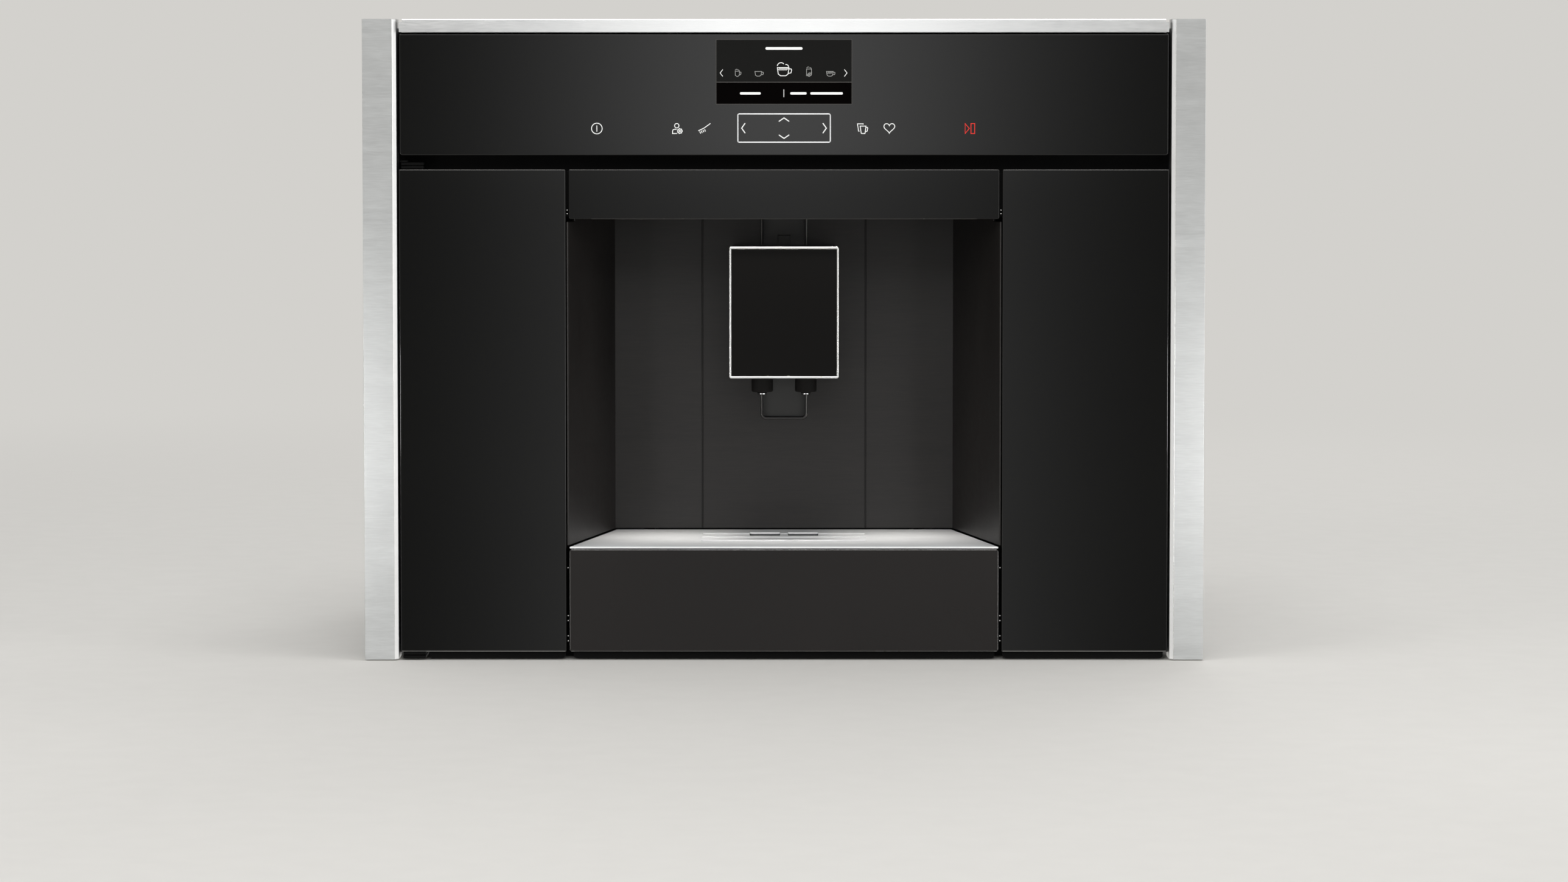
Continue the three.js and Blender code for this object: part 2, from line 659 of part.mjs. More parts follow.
// An ear with the pivot hole, and the tab behind the glass that joins it to the frame.
function doorEar(z, tab) {
  const x = from(-xDoorFrame, HINGE_EAR_WIDTH);
  const ear = block(x, [pivot[1] - PIVOT_INSET + DOOR_EDGE_BEVEL, yDoorInner - SEAT_GAP], z);
  const web = block(x, [yDoorFrame, yDoorInner - SEAT_GAP], tab);
  return ear.add(web).subtract(rod('z', pivot, HINGE_PIN + 2 * RUN_GAP, z[0] - 1, z[1] + 1, 16));
}

function doorFrame() {
  const shell = prism('y', doorOutline(0), yDoorFrame, yDoorInner - SEAT_GAP);
  const hollow = prism('y', doorOutline(DOOR_FRAME_WALL), yDoorFrame + DOOR_FRAME_SKIN, yDoorInner);
  const top = doorEar(zEarTop, [zDoorFrame[1] - HINGE_TAB_HEIGHT, zEarTop[1]]);
  const low = doorEar(zEarLow, [zEarLow[0], zDoorFrame[0] + HINGE_TAB_HEIGHT]);
  return shell.subtract(hollow).add(top).add(low);
}

function doorInnerPanel() {
  return prism('y', doorOutline(0), yDoorInner, yDoorInner + DOOR_INNER_SHEET);
}

function doorSideGlass(side) {
  const bevel = DOOR_EDGE_BEVEL;
  const right = prism('z', [
    [xSideGlass, yGlass],
    [xDoor - bevel, yGlass],
    [xDoor, yGlass + bevel],
    [xDoor, yGlassBack],
    [xSideGlass, yGlassBack],
  ], zDoor, zDoorTop);
  return side > 0 ? right : right.mirror([1, 0, 0]);
}

function doorLintel() {
  return prism('y', rounded(span(xPanel), [zLintel, zDoorTop], LINTEL_RADIUS, 0), yGlass, yGlassBack);
}

const yHinge = pivot[1] - PIVOT_INSET + DOOR_EDGE_BEVEL;
const zBracketTop = from(zEarTop[1] + RUN_GAP, HINGE_PLATE);
const zBracketLow = [RUNNER_HEIGHT - HINGE_PLATE, RUNNER_HEIGHT];

function hingePlate(z, back) {
  const plate = block(from(-xDoorFrame, HINGE_EAR_WIDTH), [yHinge, back], z);
  return plate.subtract(rod('z', pivot, HINGE_PIN + 2 * SEAT_GAP, z[0] - 1, z[1] + 1, 16));
}

// The upper pin drops in from above and rests on its head; the lower one is pressed in flush.
function hingePinTop() {
  const head = from(zBracketTop[1] + SEAT_GAP, HINGE_HEAD_HEIGHT);
  const shank = rod('z', pivot, HINGE_PIN, zEarTop[0], head[1], 16);
  return shank.add(rod('z', pivot, HINGE_PIN_HEAD, head[0], head[1], 16));
}

function hingePinBottom() {
  return rod('z', pivot, HINGE_PIN, zBracketLow[0], zEarLow[1], 16);
}

function doorMagnet() {
  const [x, z] = magnetBay;
  return block(x, from(yBody - DOOR_BACK_GAP + RUN_GAP, MAGNET_DEPTH), z);
}

// ---------------------------------------------------------------- cup niche
function nicheWall(side) {
  const front = yGlass + NICHE_SETBACK;
  const back = yNiche - SEAT_GAP;
  const wall = prism('z', [
    [nicheHalf(front), front],
    [nicheHalf(front) + NICHE_WALL, front],
    [nicheHalf(back) + NICHE_WALL, back],
    [nicheHalf(back), back],
  ], zNiche, zCeiling - SEAT_GAP);
  const notch = block([0, xDoor], [yTrim, yBody], [zLintel - NICHE_NOTCH_GAP, zCeiling]);
  const right = wall.subtract(notch);
  return side > 0 ? right : right.mirror([1, 0, 0]);
}

const guideHole = span(GUIDE_WIDTH / 2 + SEAT_GAP);

function nicheBack() {
  const sheet = from(yNiche, NICHE_BACK_SHEET);
  const plate = block(span(NICHE_BACK_WIDTH / 2 + NICHE_WALL), sheet, [zNiche, zCeiling - SEAT_GAP]);
  const hole = rounded(guideHole, [GUIDE_BOTTOM - SEAT_GAP, zCeiling + GUIDE_RADIUS], GUIDE_RADIUS, 0);
  const grooves = [-GROOVE_OFFSET, GROOVE_OFFSET].map((x) =>
    block(around(x, GROOVE_WIDTH), [yNiche - 1, yNiche + GROOVE_DEPTH], [zNiche - 1, zCeiling]));
  const open = plate.subtract(prism('y', hole, sheet[0] - 1, sheet[1] + 1));
  return grooves.reduce((left, groove) => left.subtract(groove), open);
}

const yGuide = [yNiche - GUIDE_PROUD, yNiche - GUIDE_PROUD + GUIDE_DEPTH];
const zSpigot = OUTLET_BOTTOM + OUTLET_HEIGHT / 2;

// The channel that the outlet's carriage runs in, with a slot in its floor for the feed spigot.
function outletGuide() {
  const top = zCeiling - SEAT_GAP;
  const outline = rounded(span(GUIDE_WIDTH / 2), [GUIDE_BOTTOM, top], GUIDE_RADIUS, 0);
  const outer = prism('y', outline, yGuide[0], yGuide[1]);
  const bore = rounded(
    span(GUIDE_WIDTH / 2 - GUIDE_WALL),
    [GUIDE_BOTTOM + GUIDE_WALL, top + 1],
    GUIDE_RADIUS - GUIDE_WALL,
    0,
  );
  const slot = block(
    span(SPIGOT / 2 + 2 * RUN_GAP),
    [yNiche, yGuide[1] + 1],
    [zSpigot - OUTLET_DOWN - SPIGOT, zSpigot + OUTLET_UP + SPIGOT],
  );
  return outer.subtract(prism('y', bore, yGuide[0] - 1, yGuide[1] - GUIDE_WALL)).subtract(slot);
}

function nicheCeiling() {
  const back = yNiche + NICHE_BACK_SHEET;
  return prism('z', [
    [-nicheHalf(yInside) - NICHE_WALL, yInside],
    [nicheHalf(yInside) + NICHE_WALL, yInside],
    [nicheHalf(back) + NICHE_WALL, back],
    [-nicheHalf(back) - NICHE_WALL, back],
  ], zCeiling, zCeiling + NICHE_WALL);
}

function nicheLight() {
  const z = [zCeiling - SEAT_GAP - LIGHT_HEIGHT, zCeiling - SEAT_GAP];
  return block(span(LIGHT_LENGTH / 2), from(yGlass + LIGHT_SETBACK, LIGHT_WIDTH), z);
}

// ---------------------------------------------------------------- outlet
const yOutlet = yGlass + OUTLET_SETBACK;
const yOutletBack = yNiche - OUTLET_BACK_GAP;
const yHousing = yOutlet + OUTLET_RING_DEPTH + SEAT_GAP;
const yNozzle = yGlass + NOZZLE_SETBACK;
const outletX = span(OUTLET_WIDTH / 2);
const outletZ = from(OUTLET_BOTTOM, OUTLET_HEIGHT);

function outletFrame() {
  const y = from(yOutlet, OUTLET_RING_DEPTH);
  const outer = prism('y', rounded(outletX, outletZ, OUTLET_RADIUS), y[0], y[1]);
  const inner = block(grown(outletX, -OUTLET_RING), grown(y, 1), grown(outletZ, -OUTLET_RING));
  return outer.subtract(inner);
}

function outletFrontPlate() {
  const margin = -OUTLET_RING - SEAT_GAP;
  const y = from(yOutlet + OUTLET_PLATE_SINK, OUTLET_PLATE);
  return block(grown(outletX, margin), y, grown(outletZ, margin));
}

function outletHousing() {
  const x = grown(outletX, -OUTLET_INSET);
  const z = grown(outletZ, -OUTLET_INSET);
  const shell = block(x, [yHousing, yOutletBack], z);
  const depth = [yHousing - 1, yOutletBack - OUTLET_WALL];
  const hollow = block(grown(x, -OUTLET_WALL), depth, grown(z, -OUTLET_WALL));
  const hole = NOZZLE_NECK + 2 * SEAT_GAP;
  const holes = [-1, 1].map((side) =>
    rod('z', [side * NOZZLE_SPACING / 2, yNozzle], hole, z[0] - 1, z[0] + OUTLET_WALL + 1));
  return holes.reduce((left, one) => left.subtract(one), shell.subtract(hollow));
}

function outletCarriage() {
  const half = GUIDE_WIDTH / 2 - GUIDE_WALL - RUN_GAP;
  const back = yGuide[1] - GUIDE_WALL - RUN_GAP;
  const slide = block(span(half), [yOutletBack + SEAT_GAP, back], around(zSpigot, CARRIAGE_HEIGHT));
  return slide.add(rod('y', [0, zSpigot], SPIGOT, back - 1, back + SPIGOT_LENGTH, 16));
}

function nozzle(side) {
  const centre = [side * NOZZLE_SPACING / 2, yNozzle];
  const top = OUTLET_BOTTOM + OUTLET_INSET - SEAT_GAP;
  const low = OUTLET_BOTTOM - NOZZLE_HEIGHT;
  const tip = low - NOZZLE_TIP_HEIGHT;
  const neckTop = top + OUTLET_WALL + NOZZLE_NECK_HEIGHT;
  return rod('z', centre, NOZZLE, low, top)
    .add(rod('z', centre, NOZZLE_TIP, tip, low + 1, 16))
    .add(rod('z', centre, NOZZLE_NECK, top - 1, neckTop))
    .subtract(rod('z', centre, NOZZLE_BORE, tip - 1, neckTop + 1, 12));
}

// ---------------------------------------------------------------- drip tray
function trayFrontGlass() {
  return block(span(xPanel), [yGlass, yGlassBack], from(zDoor, LOWER_PANEL_HEIGHT));
}

const zTrayFront = grown(from(zDoor, LOWER_PANEL_HEIGHT), -DOOR_FRAME_INSET);
const zTrayRim = zPlate - SEAT_GAP;

function trayFrontFrame() {
  const x = span(xPanel - DOOR_FRAME_INSET);
  const y = [yGlassBack + SEAT_GAP, yGlassBack + SEAT_GAP + TRAY_FRONT_DEPTH];
  const shell = block(x, y, zTrayFront);
  const depth = [y[0] + TRAY_FRONT_WALL, y[1] + 1];
  const hollow = block(grown(x, -TRAY_FRONT_WALL), depth, grown(zTrayFront, -TRAY_FRONT_WALL));
  return shell.subtract(hollow);
}

// The tray's plan: it follows the drip plate, then a narrower well reaches back under the brew unit.
function trayOutline(margin) {
  const front = nicheHalf(yTray) - PLATE_SIDE_GAP - margin;
  const back = nicheHalf(yNiche) - PLATE_SIDE_GAP - margin;
  const well = TRAY_BACK_WIDTH / 2 - margin;
  const right = [
    [front, yTray + margin],
    [back, yNiche - margin],
    [well, yNiche - margin],
    [well, yTrayBack - margin],
  ];
  return [...right, ...right.map(([x, y]) => [-x, y]).reverse()];
}

function dripTray() {
  const shell = prism('z', trayOutline(0), TRAY_FLOOR, zTrayRim);
  const hollow = prism('z', trayOutline(TRAY_WALL), TRAY_FLOOR + TRAY_WALL, zTrayRim + 1);
  const well = span(TRAY_BACK_WIDTH / 2);
  const partition = block(well, from(yNiche, TRAY_WALL), from(TRAY_FLOOR, TRAY_PARTITION));
  return shell.subtract(hollow).add(partition);
}

const yPlateFront = yGlass + PLATE_SETBACK;

function dripPlate() {
  const back = yNiche - RUN_GAP;
  const plate = prism('z', [
    [-nicheHalf(yPlateFront) + PLATE_SIDE_GAP, yPlateFront],
    [nicheHalf(yPlateFront) - PLATE_SIDE_GAP, yPlateFront],
    [nicheHalf(back) - PLATE_SIDE_GAP, back],
    [-nicheHalf(back) + PLATE_SIDE_GAP, back],
  ], zPlate, zPlateTop);
  const cut = grown([zPlate, zPlateTop], 1);
  const slots = Array.from({ length: SLOT_ROWS }, (_, i) => block(
    span(SLOT_LENGTH / 2),
    around(yPlateFront + SLOT_FIRST + i * SLOT_PITCH, SLOT_WIDTH),
    cut,
  ));
  const drains = [-1, 1].map((side) => block(
    around(side * DRAIN_OFFSET, DRAIN_WIDTH),
    around(yPlateFront + DRAIN_SETBACK, DRAIN_DEPTH),
    cut,
  ));
  return [...slots, ...drains].reduce((left, hole) => left.subtract(hole), plate);
}

function groundsContainer() {
  const x = span(GROUNDS_WIDTH / 2);
  const y = from(yTrayBack - TRAY_WALL - RUN_GAP - GROUNDS_DEPTH, GROUNDS_DEPTH);
  const z = from(TRAY_FLOOR + TRAY_WALL + SEAT_GAP, GROUNDS_HEIGHT);
  const hollow = block(grown(x, -GROUNDS_WALL), grown(y, -GROUNDS_WALL), [z[0] + GROUNDS_WALL, z[1] + 1]);
  return block(x, y, z).subtract(hollow);
}

function trayCradle() {
  const half = nicheHalf(yInside) + NICHE_WALL;
  const y = [yInside, yTrayBack + CRADLE_RIB];
  const sheet = block(span(half), y, from(zFloor, CRADLE_SHEET));
  const side = block([half - CRADLE_SHEET, half], y, from(zFloor, CRADLE_SIDE));
  const rib = block(
    around(CRADLE_RIB_OFFSET, CRADLE_RIB),
    y,
    [zFloor, TRAY_FLOOR - RUN_GAP],
  );
  return [side, rib].reduce((all, one) => all.add(one).add(one.mirror([1, 0, 0])), sheet);
}

// ---------------------------------------------------------------- water tank
const tankX = around(-BAY_CENTRE, TANK_WIDTH);
const tankY = [yBay, yTankBack];
const tankSpigotLevel = TANK_FLOOR + TANK_SPIGOT_LEVEL;
const lidAxis = [yTankBack - LID_KNUCKLE / 2, zTankTop + RUN_GAP + LID_KNUCKLE / 2];
const lidEars = [
  from(tankX[0] + LID_EAR_INSET, LID_EAR),
  [tankX[1] - LID_EAR_INSET - LID_EAR, tankX[1] - LID_EAR_INSET],
];

function waterTank() {
  const shell = block(tankX, tankY, [TANK_FLOOR, zTankTop]);
  const water = [TANK_FLOOR + TANK_WALL, zTankTop + 1];
  const hollow = block(grown(tankX, -TANK_WALL), grown(tankY, -TANK_WALL), water);
  // A finger pocket in the front wall stands into the tank.
  const level = TANK_FLOOR + TANK_GRIP_LEVEL;
  const pocket = block(
    around(-BAY_CENTRE, TANK_GRIP_WIDTH + 2 * TANK_WALL),
    [yBay, yBay + TANK_GRIP_DEPTH + TANK_WALL],
    around(level, TANK_GRIP_HEIGHT + 2 * TANK_WALL),
  );
  const grip = block(
    around(-BAY_CENTRE, TANK_GRIP_WIDTH),
    [yBay - 1, yBay + TANK_GRIP_DEPTH],
    around(level, TANK_GRIP_HEIGHT),
  );
  const earTop = lidAxis[1] + LID_KNUCKLE / 2;
  const ears = lidEars.map((x) => block(x, around(lidAxis[0], LID_KNUCKLE), [zTankTop - 1, earTop]));
  const pinHole = rod('x', lidAxis, LID_PIN + 2 * RUN_GAP, tankX[0], tankX[1], 12);
  const place = [-BAY_CENTRE, tankSpigotLevel];
  const mouth = yTankBack + TANK_SPIGOT_LENGTH;
  const spigot = rod('y', place, TANK_SPIGOT, yTankBack - TANK_WALL, mouth, 16);
  const bore = rod('y', place, TANK_SPIGOT / 2, yTankBack - 2 * TANK_WALL, mouth + 1, 12);
  const withEars = ears.reduce((all, ear) => all.add(ear), shell.subtract(hollow)).subtract(pinHole);
  return withEars.add(pocket).subtract(grip).add(spigot).subtract(bore);
}

// A flap whose rear knuckle lies between the tank's two ears, on a pin that runs through them.
function tankLid() {
  const x = grown(tankX, -1);
  const z = from(zTankTop + RUN_GAP, TANK_LID);
  const knuckle = [lidEars[0][1] + RUN_GAP, lidEars[1][0] - RUN_GAP];
  // Its rear edge clears the ears' corners as it turns.
  const flap = block(x, [yBay + 1, lidAxis[0] - (LID_KNUCKLE / 2) * Math.SQRT2 - 2 * RUN_GAP], z);
  const neck = block(knuckle, [lidAxis[0] - LID_KNUCKLE, lidAxis[0]], z);
  const barrel = rod('x', lidAxis, LID_KNUCKLE, knuckle[0], knuckle[1], 16);
  const pin = rod('x', lidAxis, LID_PIN, lidEars[0][0], lidEars[1][1], 12);
  return flap.add(neck).add(barrel).add(pin);
}

// ---------------------------------------------------------------- coffee path
const hopperX = around(BAY_CENTRE, HOPPER_WIDTH);
const hopperY = from(yBay, HOPPER_DEPTH);
const throat = [BAY_CENTRE, yGrinder];

function beanContainer() {
  const shell = block(hopperX, hopperY, [zHopper, HOPPER_TOP]);
  const hollow = block(
    grown(hopperX, -HOPPER_WALL),
    grown(hopperY, -HOPPER_WALL),
    [zHopper + HOPPER_WALL, HOPPER_TOP + 1],
  );
  // The floor falls towards the throat over the grinder.
  const ramp = prism('x', [
    [hopperY[0] + HOPPER_WALL / 2, zHopper + HOPPER_WALL / 2],
    [yGrinder - HOPPER_THROAT, zHopper + HOPPER_WALL / 2],
    [hopperY[0] + HOPPER_WALL / 2, zHopper + HOPPER_HEIGHT / 2],
  ], hopperX[0] + HOPPER_WALL / 2, hopperX[1] - HOPPER_WALL / 2);
  const mouth = rod('z', throat, HOPPER_THROAT, zHopper - 1, zHopper + HOPPER_WALL + 1);
  return shell.subtract(hollow).add(ramp).subtract(mouth);
}

function beanLid() {
  const lid = block(hopperX, hopperY, from(HOPPER_TOP + SEAT_GAP, HOPPER_LID));
  // It drops into the container's mouth a little.
  const plug = block(
    grown(hopperX, -HOPPER_WALL - SEAT_GAP),
    grown(hopperY, -HOPPER_WALL - SEAT_GAP),
    [HOPPER_TOP - HOPPER_LID, HOPPER_TOP + SEAT_GAP + HOPPER_LID / 2],
  );
  return lid.add(plug);
}

function grinderHousing() {
  const body = rod('z', throat, GRINDER, zGrinder, zGrinderTop);
  const cup = rod('z', throat, GRINDER_BORE, zGrinderTop - GRINDER_CUP, zGrinderTop + 1);
  const hole = rod('z', throat, BURR_SHAFT + 2 * RUN_GAP, zGrinder - 1, zGrinderTop, 16);
  // The spout takes the grounds forward to the brew unit.
  const spout = block(
    around(BAY_CENTRE, CHUTE_WIDTH),
    [yBrewBack - BREW_CHAMBER / 2, yGrinder],
    [BREW_LEVEL + BREW_HEIGHT + SEAT_GAP, BREW_LEVEL + BREW_HEIGHT + CHUTE_WIDTH],
  );
  const channel = block(
    around(BAY_CENTRE, CHUTE_WIDTH - 2 * HOPPER_WALL),
    [yBrewBack - BREW_CHAMBER / 2 + HOPPER_WALL, yGrinder],
    [BREW_LEVEL + BREW_HEIGHT, BREW_LEVEL + BREW_HEIGHT + CHUTE_WIDTH - HOPPER_WALL],
  );
  return body.subtract(cup).add(spout.subtract(channel)).subtract(hole);
}

function grinderBurr() {
  const low = zGrinderTop - GRINDER_CUP + RUN_GAP;
  const cone = rod('z', throat, BURR, low, low + BURR_HEIGHT, SIDES, BURR * 0.6);
  return cone.add(rod('z', throat, BURR_SHAFT, zGrinder, low + 1, 16));
}

function grinderMotor() {
  const top = zGrinder - RUN_GAP;
  const low = top - MOTOR_HEIGHT;
  const can = rod('z', throat, MOTOR, low, top);
  const foot = block(around(throat[0], MOTOR_FOOT), around(throat[1], MOTOR_FOOT / 2), from(low, BASE_SHEET));
  const legs = [-1, 1].map((side) => block(
    around(throat[0] + side * (MOTOR_FOOT - BASE_SHEET) / 2, BASE_SHEET),
    around(throat[1], MOTOR_FOOT / 2),
    [zFloor, low + BASE_SHEET],
  ));
  return legs.reduce((all, leg) => all.add(leg), can.add(foot));
}

function grindDial() {
  const front = yBody + SEAT_GAP;
  const knob = rod('y', dialPlace, DIAL, front + DIAL_RIDGE, front + DIAL_DEPTH);
  const grip = [front, front + DIAL_DEPTH - 1];
  const ridge = block(around(dialPlace[0], DIAL_RIDGE), grip, around(dialPlace[1], DIAL - DIAL_RIDGE));
  // The shaft stops short of the grinder's round side, at its edge nearer the middle.
  const reach = DIAL_OFFSET - DIAL_SHAFT / 2;
  const end = yGrinder - Math.sqrt((GRINDER / 2) ** 2 - reach ** 2) - 2 * RUN_GAP;
  return knob.add(ridge).add(rod('y', dialPlace, DIAL_SHAFT, front + DIAL_DEPTH - 1, end, 12));
}

function powderDrawer() {
  const [x, z] = drawerBay;
  const y = from(yBay, DRAWER_DEPTH);
  const hollow = block(grown(x, -DRAWER_WALL), grown(y, -DRAWER_WALL), [z[0] + DRAWER_WALL, z[1] + 1]);
  return block(x, y, z).subtract(hollow);
}

function brewUnit() {
  const x = around(BAY_CENTRE, BREW_WIDTH);
  const y = [yBrewBack - BREW_DEPTH, yBrewBack];
  const z = from(BREW_LEVEL, BREW_HEIGHT);
  const chamber = [BAY_CENTRE, yBrewBack - BREW_CHAMBER / 2 - BREW_CHAMBER / 4];
  const body = block(x, y, z);
  // The drive's recess in its left side.
  const recess = block(
    [x[0] - 1, x[0] + BREW_RECESS],
    [y[0] + BREW_RECESS, y[1] - 1.5 * BREW_CHAMBER],
    grown(z, -BREW_RECESS),
  );
  const bore = rod('z', chamber, BREW_CHAMBER, z[0] + BREW_HEIGHT / 2, z[1] + 1);
  const feet = [y[0] + 1.5 * BREW_FOOT, y[1] - BREW_FOOT / 2].map((at) =>
    block(around(BAY_CENTRE, BREW_WIDTH), around(at, BREW_FOOT), [zFloor, z[0] + 1]));
  return feet.reduce((all, foot) => all.add(foot), body.subtract(recess).subtract(bore));
}

function brewCover() {
  const [x, z] = coverBay;
  const sheet = from(yBay - SEAT_GAP, COVER_SHEET);
  const plate = block(x, sheet, z);
  const wall = BODY_SHEET;
  // A pocket to grip it by, near the top.
  const high = around(z[1] - COVER_GRIP, COVER_GRIP / 2);
  const wide = around(BAY_CENTRE, COVER_GRIP);
  const depth = COVER_GRIP_DEPTH;
  const bowl = block(grown(wide, wall), from(sheet[0], depth + wall), grown(high, wall));
  return plate.add(bowl).subtract(block(wide, [sheet[0] - 1, sheet[0] + depth], high));
}

// ---------------------------------------------------------------- water and power
const pumpPlace = [PUMP_X, PUMP_LEVEL];
const yPump = [yRear - BODY_SHEET - PUMP_REAR_GAP - PUMP_LENGTH, yRear - BODY_SHEET - PUMP_REAR_GAP];
const pumpPort = [PUMP_X, yPump[1] - PUMP_FOOT / 2];
const zPumpPort = PUMP_LEVEL + PUMP / 2 + PUMP_PORT;

function pump() {
  const can = rod('y', pumpPlace, PUMP, yPump[0], yPump[1]);
  const nose = rod('y', pumpPlace, PUMP_PORT, yPump[0] - PUMP_PORT, yPump[0] + 1, 12);
  const port = rod('z', pumpPort, PUMP_PORT, PUMP_LEVEL, zPumpPort, 12);
  const foot = block(
    around(PUMP_X, PUMP_FOOT),
    [yTrayBack + 2 * CRADLE_RIB, yPump[1] - 1],
    [zFloor, PUMP_LEVEL - PUMP / 4],
  );
  return can.add(nose).add(port).add(foot);
}

const heaterX = from(HEATER_X, HEATER_WIDTH);
const yHeater = from(yNiche + NICHE_BACK_SHEET + 2 * HEATER_FIN, HEATER_DEPTH);
const zHeaterPort = HEATER_LEVEL + HEATER_PORT_RISE;
const heaterPort = [yHeater[0] + HEATER_PIPE, zHeaterPort];

function thermoblock() {
  const z = from(HEATER_LEVEL, HEATER_HEIGHT);
  const body = block(heaterX, yHeater, z);
  const fins = Array.from({ length: HEATER_FINS }, (_, i) => block(
    grown(heaterX, -HEATER_FIN),
    [yHeater[1] - 1, yHeater[1] + 2 * HEATER_FIN],
    from(z[0] + HEATER_FIN + (i * (HEATER_HEIGHT - 3 * HEATER_FIN)) / (HEATER_FINS - 1), HEATER_FIN),
  ));
  const mount = block(
    from(heaterX[0] + HEATER_FIN, HEATER_WIDTH / 2),
    [yNiche + NICHE_BACK_SHEET + SEAT_GAP, yHeater[0] + 1],
    grown(z, -4 * HEATER_FIN),
  );
  const pipe = rod('x', heaterPort, HEATER_PIPE, heaterX[1] - 1, BAY_CENTRE - BREW_WIDTH / 2 - RUN_GAP, 12);
  const middle = (yHeater[0] + yHeater[1]) / 2;
  const stub = rod('x', [middle, zHeaterPort], PUMP_PORT, heaterX[0] - PUMP_PORT, heaterX[0] + 1, 12);
  return fins.reduce((all, fin) => all.add(fin), body.add(mount).add(pipe).add(stub));
}

// Tank to pump: out of the spigot, over the cradle's side, and into the pump's nose.
function tankHose() {
  const start = yTankBack + TANK_SPIGOT_LENGTH + RUN_GAP;
  const end = yPump[0] - PUMP_PORT - RUN_GAP;
  return hose([
    [-BAY_CENTRE, start, tankSpigotLevel],
    [-BAY_CENTRE, start + 12, tankSpigotLevel],
    [-BAY_CENTRE + 6, start + 36, tankSpigotLevel + 12],
    [-BAY_CENTRE + 50, start + 56, PUMP_LEVEL - 16],
    [PUMP_X - 40, end - 34, PUMP_LEVEL],
    [PUMP_X - 6, end - 20, PUMP_LEVEL],
    [PUMP_X, end - 8, PUMP_LEVEL],
    [PUMP_X, end, PUMP_LEVEL],
  ], HOSE);
}

// Pump to thermoblock.
function heaterHose() {
  const [x, y] = pumpPort;
  const z = zPumpPort + RUN_GAP;
  const end = heaterX[0] - PUMP_PORT - RUN_GAP;
  const depth = (yHeater[0] + yHeater[1]) / 2;
  return hose([
    [x, y, z],
    [x, y, z + 12],
    [x + 8, y - 10, z + 40],
    [x + 50, y - 60, zHeaterPort + 24],
    [end - 40, depth + 16, zHeaterPort + 6],
    [end - 14, depth, zHeaterPort],
    [end, depth, zHeaterPort],
  ], HOSE);
}

function powerBoard() {
  const back = yRear - BODY_SHEET - SEAT_GAP;
  const x = from(BOARD_X, BOARD_WIDTH);
  const z = from(BOARD_LEVEL, BOARD_HEIGHT);
  const y = from(back - BOARD_STANDOFF - BOARD_SHEET, BOARD_SHEET);
  const board = block(x, y, z);
  const posts = grown(x, -BOARD_POST).flatMap((at) =>
    grown(z, -BOARD_POST).map((up) => rod('y', [at, up], BOARD_POST, y[0], back, 8)));
  const rising = (height) => [y[0] - height, y[0] + 1];
  const [coil, coilTall] = TRANSFORMER;
  const edge = 2 * BOARD_POST;
  const transformer = block(from(x[0] + edge, coil), rising(coilTall), from(z[0] + edge, coil));
  const [relay, relayTall] = RELAY;
  const relays = [0, 1, 2].map((i) =>
    block(from(x[0] + edge + i * (relay + edge), relay), rising(relayTall), from(z[1] - 3 * relay, relay)));
  const [can, canTall] = CAPACITOR;
  const place = [x[1] - edge - can / 2, z[0] + edge + can / 2];
  const capacitor = rod('y', place, can, rising(canTall)[0], rising(canTall)[1], 16);
  return [transformer, capacitor, ...posts, ...relays].reduce((all, one) => all.add(one), board);
}

const rockerY = yBody + SWITCH_DEPTH;

// A rocker with two faces that meet in a shallow valley over its axis.
function mainsSwitch() {
  const [x, z] = switchBay;
  const lift = (SWITCH_HEIGHT / 2) * Math.tan(THREE.MathUtils.degToRad(SWITCH_TILT));
  const middle = SWITCH_LEVEL;
  const front = yBody + 2 * lift + SEAT_GAP;
  const inset = 1 + lift / 2;
  return prism('x', [
    [front + lift, middle],
    [front, z[1] - inset],
    [rockerY, z[1] - inset],
    [rockerY + SWITCH_DEPTH / 2, middle],
    [rockerY, z[0] + inset],
    [front, z[0] + inset],
  ], x[0] + RUN_GAP, x[1] - RUN_GAP);
}

function mainsInlet() {
  const x = around(INLET_X, INLET_WIDTH);
  const z = around(INLET_LEVEL, INLET_HEIGHT);
  const y = [yRear - INLET_DEPTH, yRear - SEAT_GAP];
  const shell = block(x, y, z);
  const hollow = block(grown(x, -INLET_WALL), [y[0] + INLET_WALL, y[1] + 1], grown(z, -INLET_WALL));
  const depth = [y[0] + 1, y[1] - INLET_PIN_SINK];
  const pins = [-1, 0, 1].map((i) => block(
    around(INLET_X + i * INLET_PIN_PITCH, INLET_PIN / 2),
    depth,
    around(INLET_LEVEL + (i ? 0 : INLET_PIN), INLET_PIN),
  ));
  return pins.reduce((all, pin) => all.add(pin), shell.subtract(hollow));
}

// ---------------------------------------------------------------- put together
add(machine, 'base_plate', basePlate(), zincSheet);
add(machine, 'side_panel_left', sidePanel(-1), zincSheet);
add(machine, 'side_panel_right', sidePanel(1), zincSheet);
add(machine, 'top_cover', topCover(), zincSheet);
add(machine, 'rear_panel', rearPanel(), zincSheet);
add(machine, 'front_frame', frontFrame(), blackPlastic);
add(machine, 'trim_left', trim(-1), brushedSteel);
add(machine, 'trim_right', trim(1), brushedSteel);
add(machine, 'top_strip', topStrip(), brushedSteel);
add(machine, 'control_glass', controlGlass(), blackGlass);
add(machine, 'control_carrier', controlCarrier(), blackPlastic);
add(machine, 'display_module', displayModule(), screenBlack);
add(machine, 'control_board', controlBoard(), boardGreen);
add(machine, 'nav_frame', navFrame(), chromed);

